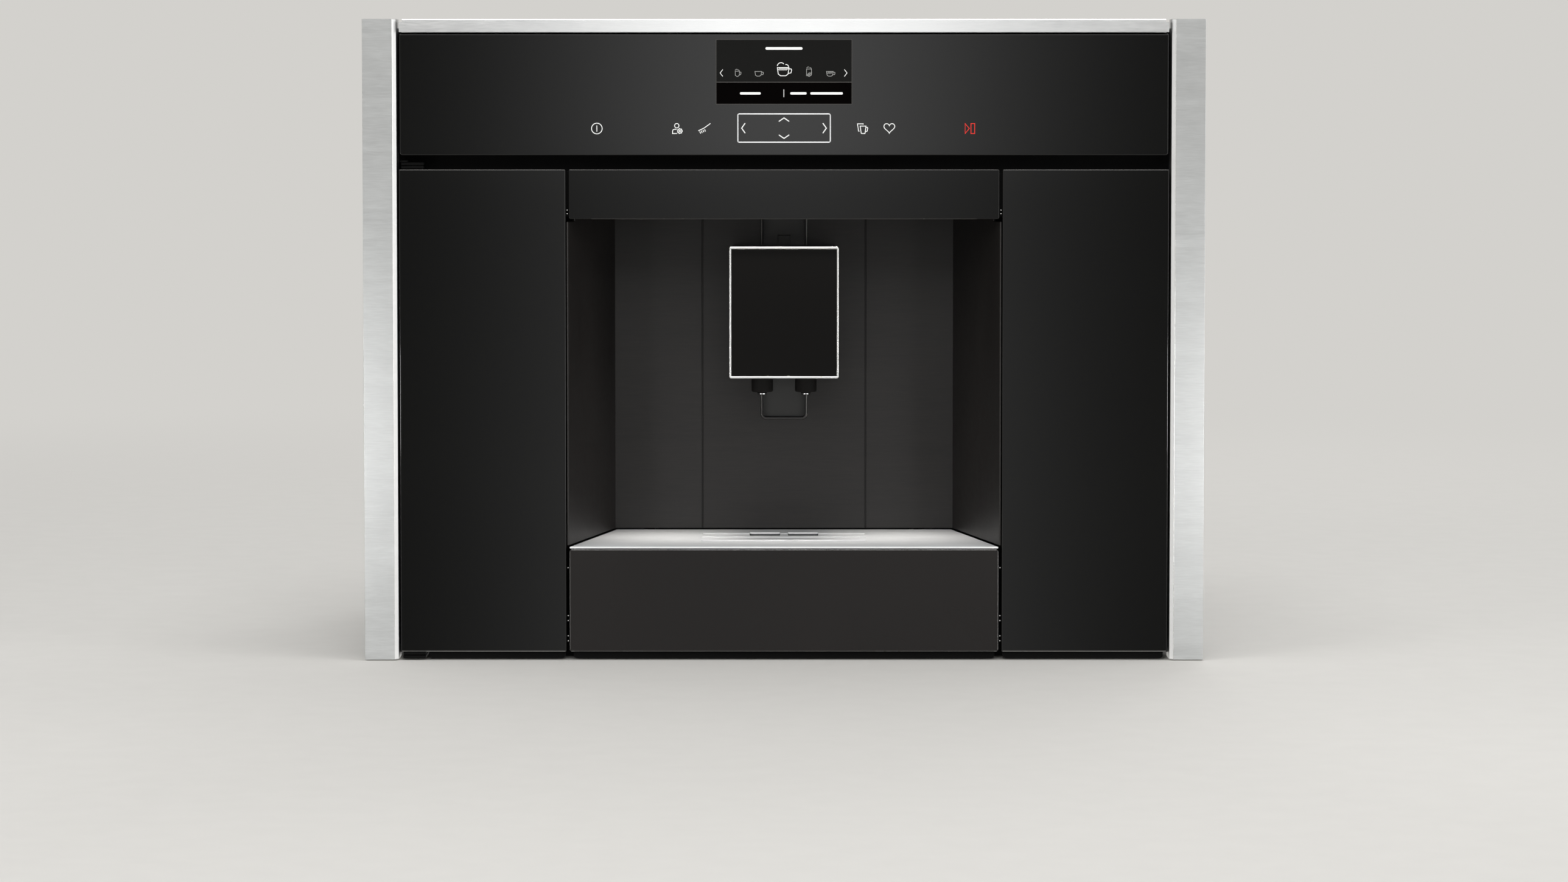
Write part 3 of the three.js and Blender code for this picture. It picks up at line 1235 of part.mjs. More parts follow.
const door = groupAt(pivot[0], pivot[1], 0);
add(door, 'door_frame', doorFrame(), blackPlastic);
add(door, 'door_inner_panel', doorInnerPanel(), greyPlastic);
add(door, 'door_glass_left', doorSideGlass(-1), blackGlass);
add(door, 'door_glass_right', doorSideGlass(1), blackGlass);
add(door, 'door_lintel', doorLintel(), blackGlass);
add(machine, 'hinge_bracket_top', hingePlate(zBracketTop, yBody), zincSheet);
add(machine, 'hinge_bracket_bottom', hingePlate(zBracketLow, yBody + HINGE_TUCK), zincSheet);
add(machine, 'hinge_pin_top', hingePinTop(), brushedSteel);
add(machine, 'hinge_pin_bottom', hingePinBottom(), brushedSteel);
add(machine, 'door_magnet', doorMagnet(), greyPlastic);

add(machine, 'niche_wall_left', nicheWall(-1), nicheSteel);
add(machine, 'niche_wall_right', nicheWall(1), nicheSteel);
add(machine, 'niche_back', nicheBack(), nicheSteel);
add(machine, 'niche_ceiling', nicheCeiling(), blackPlastic);
add(machine, 'niche_light', nicheLight(), lampWhite);
add(machine, 'outlet_guide', outletGuide(), blackPlastic);

const outlet = groupAt(0, yOutlet, OUTLET_BOTTOM);
add(outlet, 'outlet_carriage', outletCarriage(), blackPlastic);
add(outlet, 'outlet_housing', outletHousing(), blackPlastic);
add(outlet, 'outlet_frame', outletFrame(), chromed);
add(outlet, 'outlet_front_plate', outletFrontPlate(), blackGlass);
add(outlet, 'nozzle_left', nozzle(-1), blackPlastic);
add(outlet, 'nozzle_right', nozzle(1), blackPlastic);

const tray = groupAt(0, yGlass, TRAY_FLOOR);
add(tray, 'tray_front_glass', trayFrontGlass(), blackGlass);
add(tray, 'tray_front_frame', trayFrontFrame(), blackPlastic);
add(tray, 'drip_tray', dripTray(), blackPlastic);
add(tray, 'drip_plate', dripPlate(), brushedSteel);
add(tray, 'grounds_container', groundsContainer(), greyPlastic);
add(machine, 'tray_cradle', trayCradle(), zincSheet);

add(machine, 'water_tank', waterTank(), clearPlastic);
const lid = groupAt(-BAY_CENTRE, lidAxis[0], lidAxis[1]);
add(lid, 'tank_lid', tankLid(), blackPlastic);

add(machine, 'bean_container', beanContainer(), smokedPlastic);
add(machine, 'bean_lid', beanLid(), blackPlastic);
add(machine, 'grinder_housing', grinderHousing(), greyPlastic);
const burr = groupAt(throat[0], throat[1], zGrinder);
add(burr, 'grinder_burr', grinderBurr(), ceramic);
add(machine, 'grinder_motor', grinderMotor(), zincSheet);
const dial = groupAt(dialPlace[0], yBody, dialPlace[1]);
add(dial, 'grind_dial', grindDial(), greyPlastic);
add(machine, 'powder_drawer', powderDrawer(), blackPlastic);
add(machine, 'brew_unit', brewUnit(), greyPlastic);
add(machine, 'brew_cover', brewCover(), blackPlastic);

add(machine, 'pump', pump(), greyPlastic);
add(machine, 'thermoblock', thermoblock(), castAluminium);
add(machine, 'hose_tank', tankHose(), siliconeHose);
add(machine, 'hose_heater', heaterHose(), siliconeHose);
add(machine, 'power_board', powerBoard(), boardGreen);
const rocker = groupAt(BAY_CENTRE, rockerY, SWITCH_LEVEL);
rocker.rotation.x = -THREE.MathUtils.degToRad(SWITCH_TILT); // it rests switched off
add(rocker, 'mains_switch', mainsSwitch(), blackPlastic);
add(machine, 'mains_inlet', mainsInlet(), blackPlastic);

export default machine;
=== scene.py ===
"""Finishes and fine shapes of a built-in coffee machine, around its packed CAD frame.

Sizes here are millimetres in the machine's own frame: +X to the right seen from the front, +Y to the back,
+Z up, with the origin under the middle of the machine. Meshes are written in metres, and the stage's own
places and sizes are metres too.
"""

import json
import math

import bmesh
import bpy
import numpy as np
from bpy.props import FloatProperty, FloatVectorProperty, IntProperty, PointerProperty
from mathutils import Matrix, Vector

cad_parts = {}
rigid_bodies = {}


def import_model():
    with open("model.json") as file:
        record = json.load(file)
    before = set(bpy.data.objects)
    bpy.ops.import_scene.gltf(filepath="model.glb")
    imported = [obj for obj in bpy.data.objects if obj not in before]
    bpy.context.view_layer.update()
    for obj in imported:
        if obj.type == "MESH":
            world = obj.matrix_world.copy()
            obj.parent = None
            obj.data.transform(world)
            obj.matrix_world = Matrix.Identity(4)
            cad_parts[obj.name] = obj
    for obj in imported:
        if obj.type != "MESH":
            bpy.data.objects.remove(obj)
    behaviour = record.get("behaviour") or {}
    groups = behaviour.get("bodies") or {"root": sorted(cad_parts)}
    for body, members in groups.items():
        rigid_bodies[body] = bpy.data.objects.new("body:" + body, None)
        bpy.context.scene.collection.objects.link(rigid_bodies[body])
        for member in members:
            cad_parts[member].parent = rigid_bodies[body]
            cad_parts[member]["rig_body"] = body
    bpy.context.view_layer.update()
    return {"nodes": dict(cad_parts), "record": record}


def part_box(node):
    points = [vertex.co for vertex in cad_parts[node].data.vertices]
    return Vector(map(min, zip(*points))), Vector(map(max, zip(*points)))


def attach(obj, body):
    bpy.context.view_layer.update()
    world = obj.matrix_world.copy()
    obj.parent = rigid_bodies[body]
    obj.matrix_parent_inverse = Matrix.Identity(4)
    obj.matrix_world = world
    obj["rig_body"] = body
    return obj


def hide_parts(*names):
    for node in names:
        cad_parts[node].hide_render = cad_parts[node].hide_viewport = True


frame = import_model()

bl_info = {
    "name": "Built-in coffee machine",
    "version": (1, 0, 0),
    "blender": (4, 5, 0),
    "location": "View3D > Sidebar > Coffee machine",
    "description": "Builds the finished surfaces and fine parts of a built-in coffee machine",
    "category": "Add Mesh",
}

MM = 0.001
MERGE = 1e-6  # metres between points that become one


def spans(node):
    """A CAD node's reach in millimetres: a (low, high) pair for each of X, Y and Z."""
    return np.array(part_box(node), float).T / MM


GLASS_FRONT = spans("control_glass")[1][0]
TRIM_FRONT = spans("trim_left")[1][0]
BODY_FRONT = spans("side_panel_left")[1][0]


# ---------------------------------------------------------------- settings a user would change
def length(name, description, default):
    return FloatProperty(name=name, description=description, default=default, unit="LENGTH")


def power(name, description, default):
    return FloatProperty(name=name, description=description, default=default, unit="POWER")


def tint(name, description, default):
    return FloatVectorProperty(
        name=name, description=description, subtype="COLOR", default=default, min=0, max=1)


class StageSettings(bpy.types.PropertyGroup):
    """The camera, the backdrop and the lamps."""
    distance: length("Camera distance", "From the trim faces to the camera", 3.015)
    height: length("Camera height", "Above the shelf", 0.385)
    aim: length("Aim", "Height that the lens axis meets", 0.227)
    view_width: length("View width", "Width seen at the trim faces", 1.1109)
    view_centre: length("View centre", "Height of the picture's middle at the trim faces", 0.1565)
    pale: tint("Floor and backdrop", "Colour of the floor and backdrop", (0.651, 0.638, 0.610))
    ambient: FloatProperty(name="Ambient", description="Strength of the light all round", default=0.55)
    key: power("Key", "Key lamp on the right", 23)
    fill: power("Fill", "Fill lamp on the left", 14)
    front: power("Front", "Lamp over the camera", 12)
    top: power("Top", "Lamp over the machine", 19)
    strip: power("Strips", "Two low lamps that light the trims", 0.097)
    back: power("Back", "Lamp behind the machine", 20)
    niche: power("Niche", "Lamp in the cup niche", 0.055)


class FinishSettings(bpy.types.PropertyGroup):
    """The colours of the main finishes."""
    steel: tint("Brushed steel", "Trims and other brushed sheet", (0.52, 0.53, 0.53))
    chrome: tint("Chrome", "Frames and polished edges", (0.86, 0.87, 0.88))
    glass: tint("Black glass", "Paint behind the glass", (0.0025, 0.0025, 0.0022))
    plastic: tint("Black plastic", "Moulded parts", (0.016, 0.016, 0.015))
    niche: tint("Niche steel", "Coated walls of the cup niche", (0.0112, 0.0098, 0.0092))
    zinc: tint("Zinc sheet", "Body panels", (0.56, 0.57, 0.58))
    symbol: tint("Symbols", "Printed touch symbols", (0.72, 0.73, 0.72))
    red: tint("Start symbol", "Start and stop symbol", (0.62, 0.02, 0.012))


class ShapeSettings(bpy.types.PropertyGroup):
    """Fine edges, and how finely curves are divided."""
    edge: length("Edge radius", "Rounding of glass and sheet edges", 0.0006)
    bead: length("Edge line", "Radius of the polished lines on the panels", 0.0003)
    arc_steps: IntProperty(name="Arc steps", description="Steps in a quarter turn", default=6, min=2, max=16)
    turn_steps: IntProperty(name="Turn steps", description="Steps in a full turn", default=48, min=12, max=96)


def shape_settings():
    """The settings of fine edges and curves; their lengths are metres."""
    return bpy.context.scene.coffee_shape


# ---------------------------------------------------------------- meshes and pieces
MATERIALS = {}


def shade_smooth(mesh, sharp_from):
    """Smooth shading, but sharp along edges whose faces turn by more than an angle in degrees."""
    mesh.polygons.foreach_set("use_smooth", np.ones(len(mesh.polygons), bool))
    mesh.set_sharp_from_angle(angle=math.radians(sharp_from))


def build_mesh(name, points, faces, smooth_angle=35, outward=None):
    """A mesh from points in millimetres. Doubles are merged and the faces of closed shells turned out;
    an open sheet is turned to face the outward vector."""
    mesh = bpy.data.meshes.new(name)
    mesh.from_pydata((np.asarray(points, float).reshape(-1, 3) * MM).tolist(), [], faces)
    bm = bmesh.new()
    bm.from_mesh(mesh)
    bmesh.ops.remove_doubles(bm, verts=bm.verts, dist=MERGE)
    bmesh.ops.delete(bm, geom=[v for v in bm.verts if not v.link_faces], context="VERTS")
    bmesh.ops.recalc_face_normals(bm, faces=bm.faces)
    if outward is not None:
        lean = sum((f.normal * f.calc_area() for f in bm.faces), Vector())
        if lean.dot(Vector(outward)) < 0:
            bmesh.ops.reverse_faces(bm, faces=bm.faces)
    bm.to_mesh(mesh)
    bm.free()
    shade_smooth(mesh, smooth_angle)
    return mesh


def add_object(name, data):
    """Makes an object of some data in the scene."""
    item = bpy.data.objects.new(name, data)
    bpy.context.scene.collection.objects.link(item)
    return item


def place(mesh, name, body, slot, finish=None, replaces=None):
    """Makes a piece of a mesh that already lies in the machine's frame. It rides a body, fills a slot of the
    record, and has the slot's own finish unless another is named."""
    piece = add_object(name, mesh)
    mesh.materials.append(MATERIALS[finish or slot])
    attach(piece, body)
    if replaces:
        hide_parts(replaces)
    return piece


def piece_of(name, shape, body, slot, finish=None, replaces=None, **options):
    """Makes a piece of points and faces."""
    return place(build_mesh(name, *shape, **options), name, body, slot, finish, replaces)


def round_edges(piece, width, angle=30, segments=2):
    """Rounds the edges whose faces turn by more than an angle in degrees."""
    bevel = piece.modifiers.new("Edges", "BEVEL")
    bevel.width = width * MM
    bevel.segments = segments
    bevel.limit_method = "ANGLE"
    bevel.angle_limit = math.radians(angle)
    bevel.use_clamp_overlap = False
    bevel.harden_normals = True


def softened(node, slot, width, finish=None, segments=2, angle=30):
    """A copy of a CAD node with its loose triangles merged into faces and its edges rounded."""
    source = frame["nodes"][node]
    bm = bmesh.new()
    bm.from_mesh(source.data)
    bmesh.ops.remove_doubles(bm, verts=bm.verts, dist=4 * MERGE)
    bmesh.ops.dissolve_limit(bm, angle_limit=math.radians(1), verts=bm.verts, edges=bm.edges)
    bm.verts.index_update()
    mesh = bpy.data.meshes.new(node + "_edged")
    mesh.from_pydata([v.co for v in bm.verts], [], [[v.index for v in f.verts] for f in bm.faces])
    bm.free()
    shade_smooth(mesh, angle)
    round_edges(place(mesh, node + "_edged", source["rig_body"], slot, finish, node), width, angle, segments)


SHEET = 1.2  # thickness of the body panels and the drip plate
CUT_EDGE = 0.25  # rounding of their cut edges


def thicken(piece):
    """Gives a sheet its thickness behind its face, and rounds the cut edges."""
    solid = piece.modifiers.new("Thickness", "SOLIDIFY")
    solid.thickness = SHEET * MM
    solid.offset = -1
    round_edges(piece, CUT_EDGE, 45)


# ---------------------------------------------------------------- shapes: (points, faces) pairs
def joined(shapes):
    """Several shapes as one: each one's faces are counted on from the points before it."""
    points, faces, count = [], [], 0
    for more, quads in shapes:
        points.append(more)
        faces += [[corner + count for corner in face] for face in quads]
        count += len(more)
    return np.concatenate(points), faces


def loft(rings, caps=True, closed=False):
    """Skins a stack of rings: rings[k, i] is point i of ring k, and each ring closes on itself.
    The stack ends in flat caps, or closes on itself as well."""
    rings = np.asarray(rings, float)
    index = np.arange(rings[..., 0].size).reshape(rings.shape[:2])
    above = np.roll(index, -1, axis=0)
    quads = np.stack([index, np.roll(index, -1, axis=1), np.roll(above, -1, axis=1), above], -1)
    faces = (quads if closed else quads[:-1]).reshape(-1, 4).tolist()
    if caps and not closed:
        faces += [index[0][::-1].tolist(), index[-1].tolist()]
    return rings.reshape(-1, 3), faces


def shrunk(span, inset):
    """A (low, high) span drawn in at both ends."""
    return span[0] + inset, span[1] - inset


def rounded_rect(u, v, radii, steps=None):
    """A rectangle's outline with corner arcs: centre + r (cos t, sin t), counter-clockwise from the corner
    of high u and low v. One radius, or one for each corner."""
    turn = np.linspace(0, math.pi / 2, (steps or shape_settings().arc_steps) + 1)
    corners = [(u[1], v[0], -1, 1), (u[1], v[1], -1, -1), (u[0], v[1], 1, -1), (u[0], v[0], 1, 1)]
    arcs = []
    for quarter, ((cu, cv, su, sv), r) in enumerate(zip(corners, np.broadcast_to(radii, (4,)))):
        angle = turn + (quarter - 1) * math.pi / 2
        arcs.append(np.column_stack((cu + su * r + r * np.cos(angle), cv + sv * r + r * np.sin(angle))))
    return np.concatenate(arcs)


def facing(outline, depth, axis="y"):
    """Puts a flat outline in space at a depth along an axis; the outline's axes are the other two."""
    return np.insert(np.asarray(outline, float), "xyz".index(axis), depth, axis=1)


def inset_rings(u, v, radii, profile, axis="y"):
    """Rings of a rounded rectangle, one for each (inset, depth) of a profile."""
    rings = []
    for inset, depth in profile:
        corner_radii = np.maximum(np.subtract(radii, inset), 0.02)
        rings.append(facing(rounded_rect(shrunk(u, inset), shrunk(v, inset), corner_radii), depth, axis))
    return np.array(rings)


def plate(u, v, radii, front, back, edge, axis="y"):
    """A plate whose front edge is a quarter round and whose back edge is a small chamfer:
    inset = e (1 - sin t), depth = front + e (1 - cos t)."""
    turn = np.linspace(0, math.pi / 2, 5)
    toward = np.sign(back - front)
    profile = [(edge * (1 - math.sin(t)), front + toward * edge * (1 - math.cos(t))) for t in turn]
    profile += [(0, back - toward * edge / 2), (edge / 2, back)]
    return loft(inset_rings(u, v, radii, profile, axis))


def ring_frame(u, v, radii, width, front, back, edge, axis="y"):
    """A frame of rounded section carried round a rectangle: the section is itself a rounded rectangle
    of (inset, depth)."""
    section = rounded_rect((0, width), sorted((front, back)), edge, steps=3)
    return loft(inset_rings(u, v, radii, section, axis), closed=True)


def prism(outline, low, high):
    """A flat outline carried straight up."""
    return loft(np.array([facing(outline, level, "z") for level in (low, high)]))


def lathe(profile, centre, axis="z", steps=None):
    """A profile of (radius, place along the axis) turned round an axis: centre + r (cos t, sin t)."""
    turn = np.linspace(0, 2 * math.pi, steps or shape_settings().turn_steps, endpoint=False)
    circle = np.column_stack((np.cos(turn), np.sin(turn)))
    rings = [facing(np.asarray(centre) + radius * circle, along, axis) for radius, along in profile]
    return loft(np.array(rings), caps=False)


def fillet(points, radius, steps=4):
    """Rounds the inner corners of an open polyline: each corner is an arc of that radius, which touches
    both sides at radius divided by the tangent of half the corner's angle."""
    points = np.asarray(points, float)
    out = [points[:1]]
    for before, corner, after in zip(points[:-2], points[1:-1], points[2:]):
        a, b = before - corner, after - corner
        a, b = a / np.linalg.norm(a), b / np.linalg.norm(b)
        half = math.acos(np.clip(a @ b, -1, 1)) / 2
        reach = radius / math.tan(half)
        middle = corner + (a + b) / np.linalg.norm(a + b) * radius / math.sin(half)
        start, end = corner + a * reach - middle, corner + b * reach - middle
        share = np.linspace(0, 1, steps + 1)[:, None]
        sweep = math.pi - 2 * half
        bend = (np.sin((1 - share) * sweep) * start + np.sin(share * sweep) * end) / math.sin(sweep)
        out.append(middle + bend)
    out.append(points[-1:])
    return np.concatenate(out)


def offset_line(line, distance, closed=False):
    """A flat polyline moved sideways, each corner along its mitre."""
    line = np.asarray(line, float)
    if closed:
        before, after = np.roll(line, 1, axis=0), np.roll(line, -1, axis=0)
    else:
        before = np.vstack((2 * line[0] - line[1], line[:-1]))
        after = np.vstack((line[1:], 2 * line[-1] - line[-2]))
    sides = []
    for way in (line - before, after - line):
        way = way / np.maximum(np.linalg.norm(way, axis=1, keepdims=True), 1e-9)
        sides.append(np.column_stack((-way[:, 1], way[:, 0])))
    mitre = sides[0] + sides[1]
    mitre = mitre / np.maximum(np.linalg.norm(mitre, axis=1, keepdims=True), 1e-9)
    stretch = 1 / np.maximum((mitre * sides[0]).sum(1, keepdims=True), 0.5)
    return line + mitre * stretch * distance


def stroke(line, width, front, back, closed=False):
    """A thin flat stroke of even width along a polyline in X and Z."""
    left, right = offset_line(line, width / 2, closed), offset_line(line, -width / 2, closed)
    section = [facing(left, front), facing(right, front), facing(right, back), facing(left, back)]
    return loft(np.stack(section, axis=1), closed=closed)


def arc(centre, radius, start, end, steps=16):
    """Points on a circle from one angle to another, in degrees."""
    turn = np.radians(np.linspace(start, end, steps + 1))
    return np.asarray(centre) + radius * np.column_stack((np.cos(turn), np.sin(turn)))


def tube(line, radius, steps=10):
    """A round tube along a smooth line. Its frame is carried along: the side at each point is the last
    side without its part along the new direction."""
    line = np.asarray(line, float)
    ways = np.gradient(line, axis=0)
    ways /= np.linalg.norm(ways, axis=1, keepdims=True)
    side = np.cross(ways[0], (0.3, 0.5, 0.8))
    turn = np.linspace(0, 2 * math.pi, steps, endpoint=False)[:, None]
    rings = []
    for point, way in zip(line, ways):
        side = side - way * (side @ way)
        side /= np.linalg.norm(side)
        rings.append(point + radius * (np.cos(turn) * side + np.sin(turn) * np.cross(way, side)))
    return loft(np.array(rings))


def closed_tube(line, radius, steps=8):
    """A round tube along a closed line that lies across Y: each section lies between the line's outward
    side and Y."""
    way = np.roll(line, -1, axis=0) - np.roll(line, 1, axis=0)
    way /= np.maximum(np.linalg.norm(way, axis=1, keepdims=True), 1e-9)
    side = np.cross(way, (0, 1, 0))
    turn = np.linspace(0, 2 * math.pi, steps, endpoint=False)[None, :, None]
    rings = line[:, None] + radius * (np.cos(turn) * side[:, None] + np.sin(turn) * np.array((0, 1.0, 0)))
    return loft(rings, closed=True)


# ---------------------------------------------------------------- pressed sheets
def swell(u, v, box, slope):
    """A flat-topped bump over a (u0, u1, v0, v1) box: 1 inside, falling to 0 over a slope that lies inside
    its edges, as s s (3 - 2 s) of the distance to the nearest edge."""
    near = np.minimum.reduce([u - box[0], box[1] - u, v - box[2], box[3] - v])
    s = np.clip(near / slope, 0, 1)
    return s * s * (3 - 2 * s)


def grown(box, by_u, by_v):
    """A (u0, u1, v0, v1) box with its sides moved out."""
    return box[0] - by_u, box[1] + by_u, box[2] - by_v, box[3] + by_v


def grid_lines(span, edges, slope, spacing, count=9):
    """Places of grid lines: even ones, and a few over the slope on both sides of each edge."""
    low, high = span
    lines = list(np.linspace(low, high, max(2, int((high - low) / spacing) + 1)))
    for edge in edges:
        lines += list(edge + slope * np.linspace(-1, 1, count))
    lines = np.unique(np.round([line for line in lines if low + 0.05 < line < high - 0.05], 3))
    return np.concatenate(([low], lines, [high]))


def edges_of(boxes, axis):
    """The low and high edges of (u0, u1, v0, v1) boxes along u (axis 0) or v (axis 1)."""
    return [edge for box in boxes for edge in box[2 * axis:2 * axis + 2]]


def pressed_sheet(u_lines, v_lines, holes, height, where):
    """A sheet as a grid: where(u, v, h) places each crossing, with h = height(u, v); the cells whose
    middle lies in a hole are left out."""
    u, v = np.meshgrid(u_lines, v_lines, indexing="ij")
    points = np.stack(where(u, v, height(u, v)), -1)
    index = np.arange(u.size).reshape(u.shape)
    quads = np.stack([index[:-1, :-1], index[1:, :-1], index[1:, 1:], index[:-1, 1:]], -1)
    mid_u, mid_v = (u[:-1, :-1] + u[1:, 1:]) / 2, (v[:-1, :-1] + v[1:, 1:]) / 2
    kept = np.ones(mid_u.shape, bool)
    for low_u, high_u, low_v, high_v in holes:
        kept &= ~((mid_u > low_u) & (mid_u < high_u) & (mid_v > low_v) & (mid_v < high_v))
    return points.reshape(-1, 3), quads[kept].tolist()


# ---------------------------------------------------------------- node helpers
def add_node(tree, kind, inputs=None, **values):
    """Adds a node, sets its own values, and links or sets its inputs."""
    node = tree.nodes.new(kind)
    for name, value in values.items():
        setattr(node, name, value)
    for name, value in (inputs or {}).items():
        if isinstance(value, bpy.types.NodeSocket):
            tree.links.new(value, node.inputs[name])
        else:
            node.inputs[name].default_value = value
    return node


def math_node(tree, operation, *values):
    return add_node(tree, "ShaderNodeMath", dict(enumerate(values)), operation=operation).outputs[0]


def noise(tree, at, scale, detail, **more):
    """A noise texture's value, mostly between 0.3 and 0.7."""
    inputs = {"Vector": at, "Scale": scale, "Detail": detail, **more}
    return add_node(tree, "ShaderNodeTexNoise", inputs).outputs[0]


def map_range(tree, value, start, end, low=0.0, high=1.0, **values):
    """Carries a value from start..end to low..high."""
    inputs = {0: value, 1: start, 2: end, 3: low, 4: high}
    return add_node(tree, "ShaderNodeMapRange", inputs, **values).outputs[0]


def mix_colour(tree, share, low, high):
    return add_node(tree, "ShaderNodeMix", {0: share, 6: low, 7: high}, data_type="RGBA").outputs[2]


def mix_shader(tree, share, first, second):
    """Shows a mix of two shaders as the material."""
    mixed = add_node(tree, "ShaderNodeMixShader", {0: share, 1: first.outputs[0], 2: second.outputs[0]})
    tree.links.new(mixed.outputs[0], tree.nodes["Material Output"].inputs[0])


def brush_nodes(tree, given):
    """Fine straight scratches: a noise stretched along one axis, and a slower one that groups them."""
    parts = add_node(tree, "ShaderNodeSeparateXYZ", {0: given["Vector"]}).outputs
    stretched = add_node(tree, "ShaderNodeCombineXYZ", {
        number: math_node(tree, "MULTIPLY", parts[number], given[label])
        for number, label in enumerate(("Along", "Across", "Across"))}).outputs[0]
    fine, slow = noise(tree, stretched, 1.0, 3.0), noise(tree, stretched, 0.12, 2.0)
    return add_node(tree, "ShaderNodeMix", {0: 0.35, 2: fine, 3: slow}).outputs[0], fine


def grain_nodes(tree, given):
    """The spark-eroded grain of moulded plastic: rounded cells with a fine noise over them."""
    cells = add_node(tree, "ShaderNodeTexVoronoi", {"Vector": given["Vector"], "Scale": given["Scale"]},
                     feature="SMOOTH_F1")
    fine = noise(tree, given["Vector"], given["Scale"], 2.0)
    return fine, math_node(tree, "MULTIPLY", cells.outputs["Distance"], fine)


def handling_nodes(tree, given):
    """Where hands and cloths have been: soft clouds, sharpened into patches."""
    clouds = noise(tree, given["Vector"], given["Scale"], 4.0, Roughness=0.6)
    return [math_node(tree, "MULTIPLY", map_range(tree, clouds, 0.42, 0.68), given["Amount"])]


def dust_nodes(tree, given):
    """Dust that settles on what faces up: the upward part of the normal times a speckle."""
    normal = add_node(tree, "ShaderNodeNewGeometry").outputs["Normal"]
    up = add_node(tree, "ShaderNodeSeparateXYZ", {0: normal}).outputs[2]
    speckle = noise(tree, given["Vector"], 70.0, 6.0, Roughness=0.7)
    level = math_node(tree, "MULTIPLY", map_range(tree, up, 0.55, 1.0), speckle)
    return [math_node(tree, "MULTIPLY", level, given["Amount"])]


# Node groups by kind: name, the numbers they take with defaults, their outputs, and what makes the nodes.
GROUP_KINDS = {
    "brush": ("fine_brush", {"Along": 60.0, "Across": 1400.0}, ("Tone", "Height"), brush_nodes),
    "grain": ("moulded_grain", {"Scale": 1200.0}, ("Tone", "Height"), grain_nodes),
    "handling": ("handling", {"Scale": 9.0, "Amount": 1.0}, ("Mask",), handling_nodes),
    "dust": ("settled_dust", {"Amount": 0.3}, ("Mask",), dust_nodes),
}
GROUPS = {}


def make_group(name, numbers, outputs, make_nodes):
    """A shader node group that takes a vector and some numbers."""
    group = bpy.data.node_groups.new(name, "ShaderNodeTree")
    group.interface.new_socket(name="Vector", in_out="INPUT", socket_type="NodeSocketVector")
    for label, default in numbers.items():
        socket = group.interface.new_socket(name=label, in_out="INPUT", socket_type="NodeSocketFloat")
        socket.default_value = default
    for label in outputs:
        group.interface.new_socket(name=label, in_out="OUTPUT", socket_type="NodeSocketFloat")
    given, out = group.nodes.new("NodeGroupInput"), group.nodes.new("NodeGroupOutput")
    for label, socket in zip(outputs, make_nodes(group, given.outputs)):
        group.links.new(socket, out.inputs[label])
    return group


def group_node(tree, kind, **inputs):
    """Adds a node group and gives its outputs. The group is made when it is first used."""
    if kind not in GROUPS:
        GROUPS[kind] = make_group(*GROUP_KINDS[kind])
    return add_node(tree, "ShaderNodeGroup", inputs, node_tree=GROUPS[kind]).outputs


def shader(name, **constants):
    """A material with a Principled shader whose constants are set on its own sockets."""
    material = bpy.data.materials.new(name)
    material.use_nodes = True
    tree = material.node_tree
    surface = tree.nodes["Principled BSDF"]
    for label, value in constants.items():
        surface.inputs[label.replace("_", " ")].default_value = value
    return material, tree, surface, tree.nodes.new("ShaderNodeTexCoord").outputs["Object"]


def colour(value, factor=1.0):
    return tuple(min(1.0, part * factor) for part in value) + (1.0,)


def vary_colour(tree, surface, mask, low, high):
    mixed = mix_colour(tree, mask, low, high)
    tree.links.new(mixed, surface.inputs["Base Color"])
    return mixed


def vary_roughness(tree, surface, mask, low, high):
    tree.links.new(map_range(tree, mask, 0.0, 1.0, low, high), surface.inputs["Roughness"])


def bump(tree, surface, height, strength, distance):
    node = add_node(tree, "ShaderNodeBump", {
        "Height": height, "Strength": strength, "Distance": distance * MM})
    tree.links.new(node.outputs[0], surface.inputs["Normal"])


# ---------------------------------------------------------------- materials
def brushed_metal(name, base, roughness, depth=0.02, along=110.0, across=1500.0, contrast=0.10, metallic=1.0):
    """Brushed sheet metal: scratches along X, and patches where it has been touched."""
    material, tree, surface, at = shader(name, Metallic=metallic)
    brush = group_node(tree, "brush", Vector=at, Along=along, Across=across)
    tone = map_range(tree, brush["Tone"], 0.3, 0.7)
    vary_colour(tree, surface, tone, colour(base, 1 - contrast), colour(base, 1 + contrast / 2))
    touch = group_node(tree, "handling", Vector=at, Amount=0.3)["Mask"]
    level = math_node(tree, "ADD", math_node(tree, "MULTIPLY", tone, 0.6), touch)
    vary_roughness(tree, surface, level, roughness - 0.05, roughness + 0.08)
    bump(tree, surface, brush["Height"], 0.5, depth)
    return material


def moulded_plastic(name, base, roughness, grain=1100.0, depth=0.03, dust=0.25, level=0.5):
    """Moulded plastic with a fine grain, rubbed smoother in patches and dusty where it faces up."""
    material, tree, surface, at = shader(name, Specular_IOR_Level=level)
    cells = group_node(tree, "grain", Vector=at, Scale=grain)
    worn = group_node(tree, "handling", Vector=at)["Mask"]
    settled = group_node(tree, "dust", Vector=at, Amount=dust)["Mask"]
    shade = mix_colour(tree, cells["Tone"], colour(base, 0.82), colour(base, 1.22))
    vary_colour(tree, surface, settled, shade, (0.30, 0.29, 0.27, 1))
    vary_roughness(tree, surface, worn, roughness + 0.06, roughness - 0.08)
    bump(tree, surface, cells["Height"], 0.6, depth)
    return material


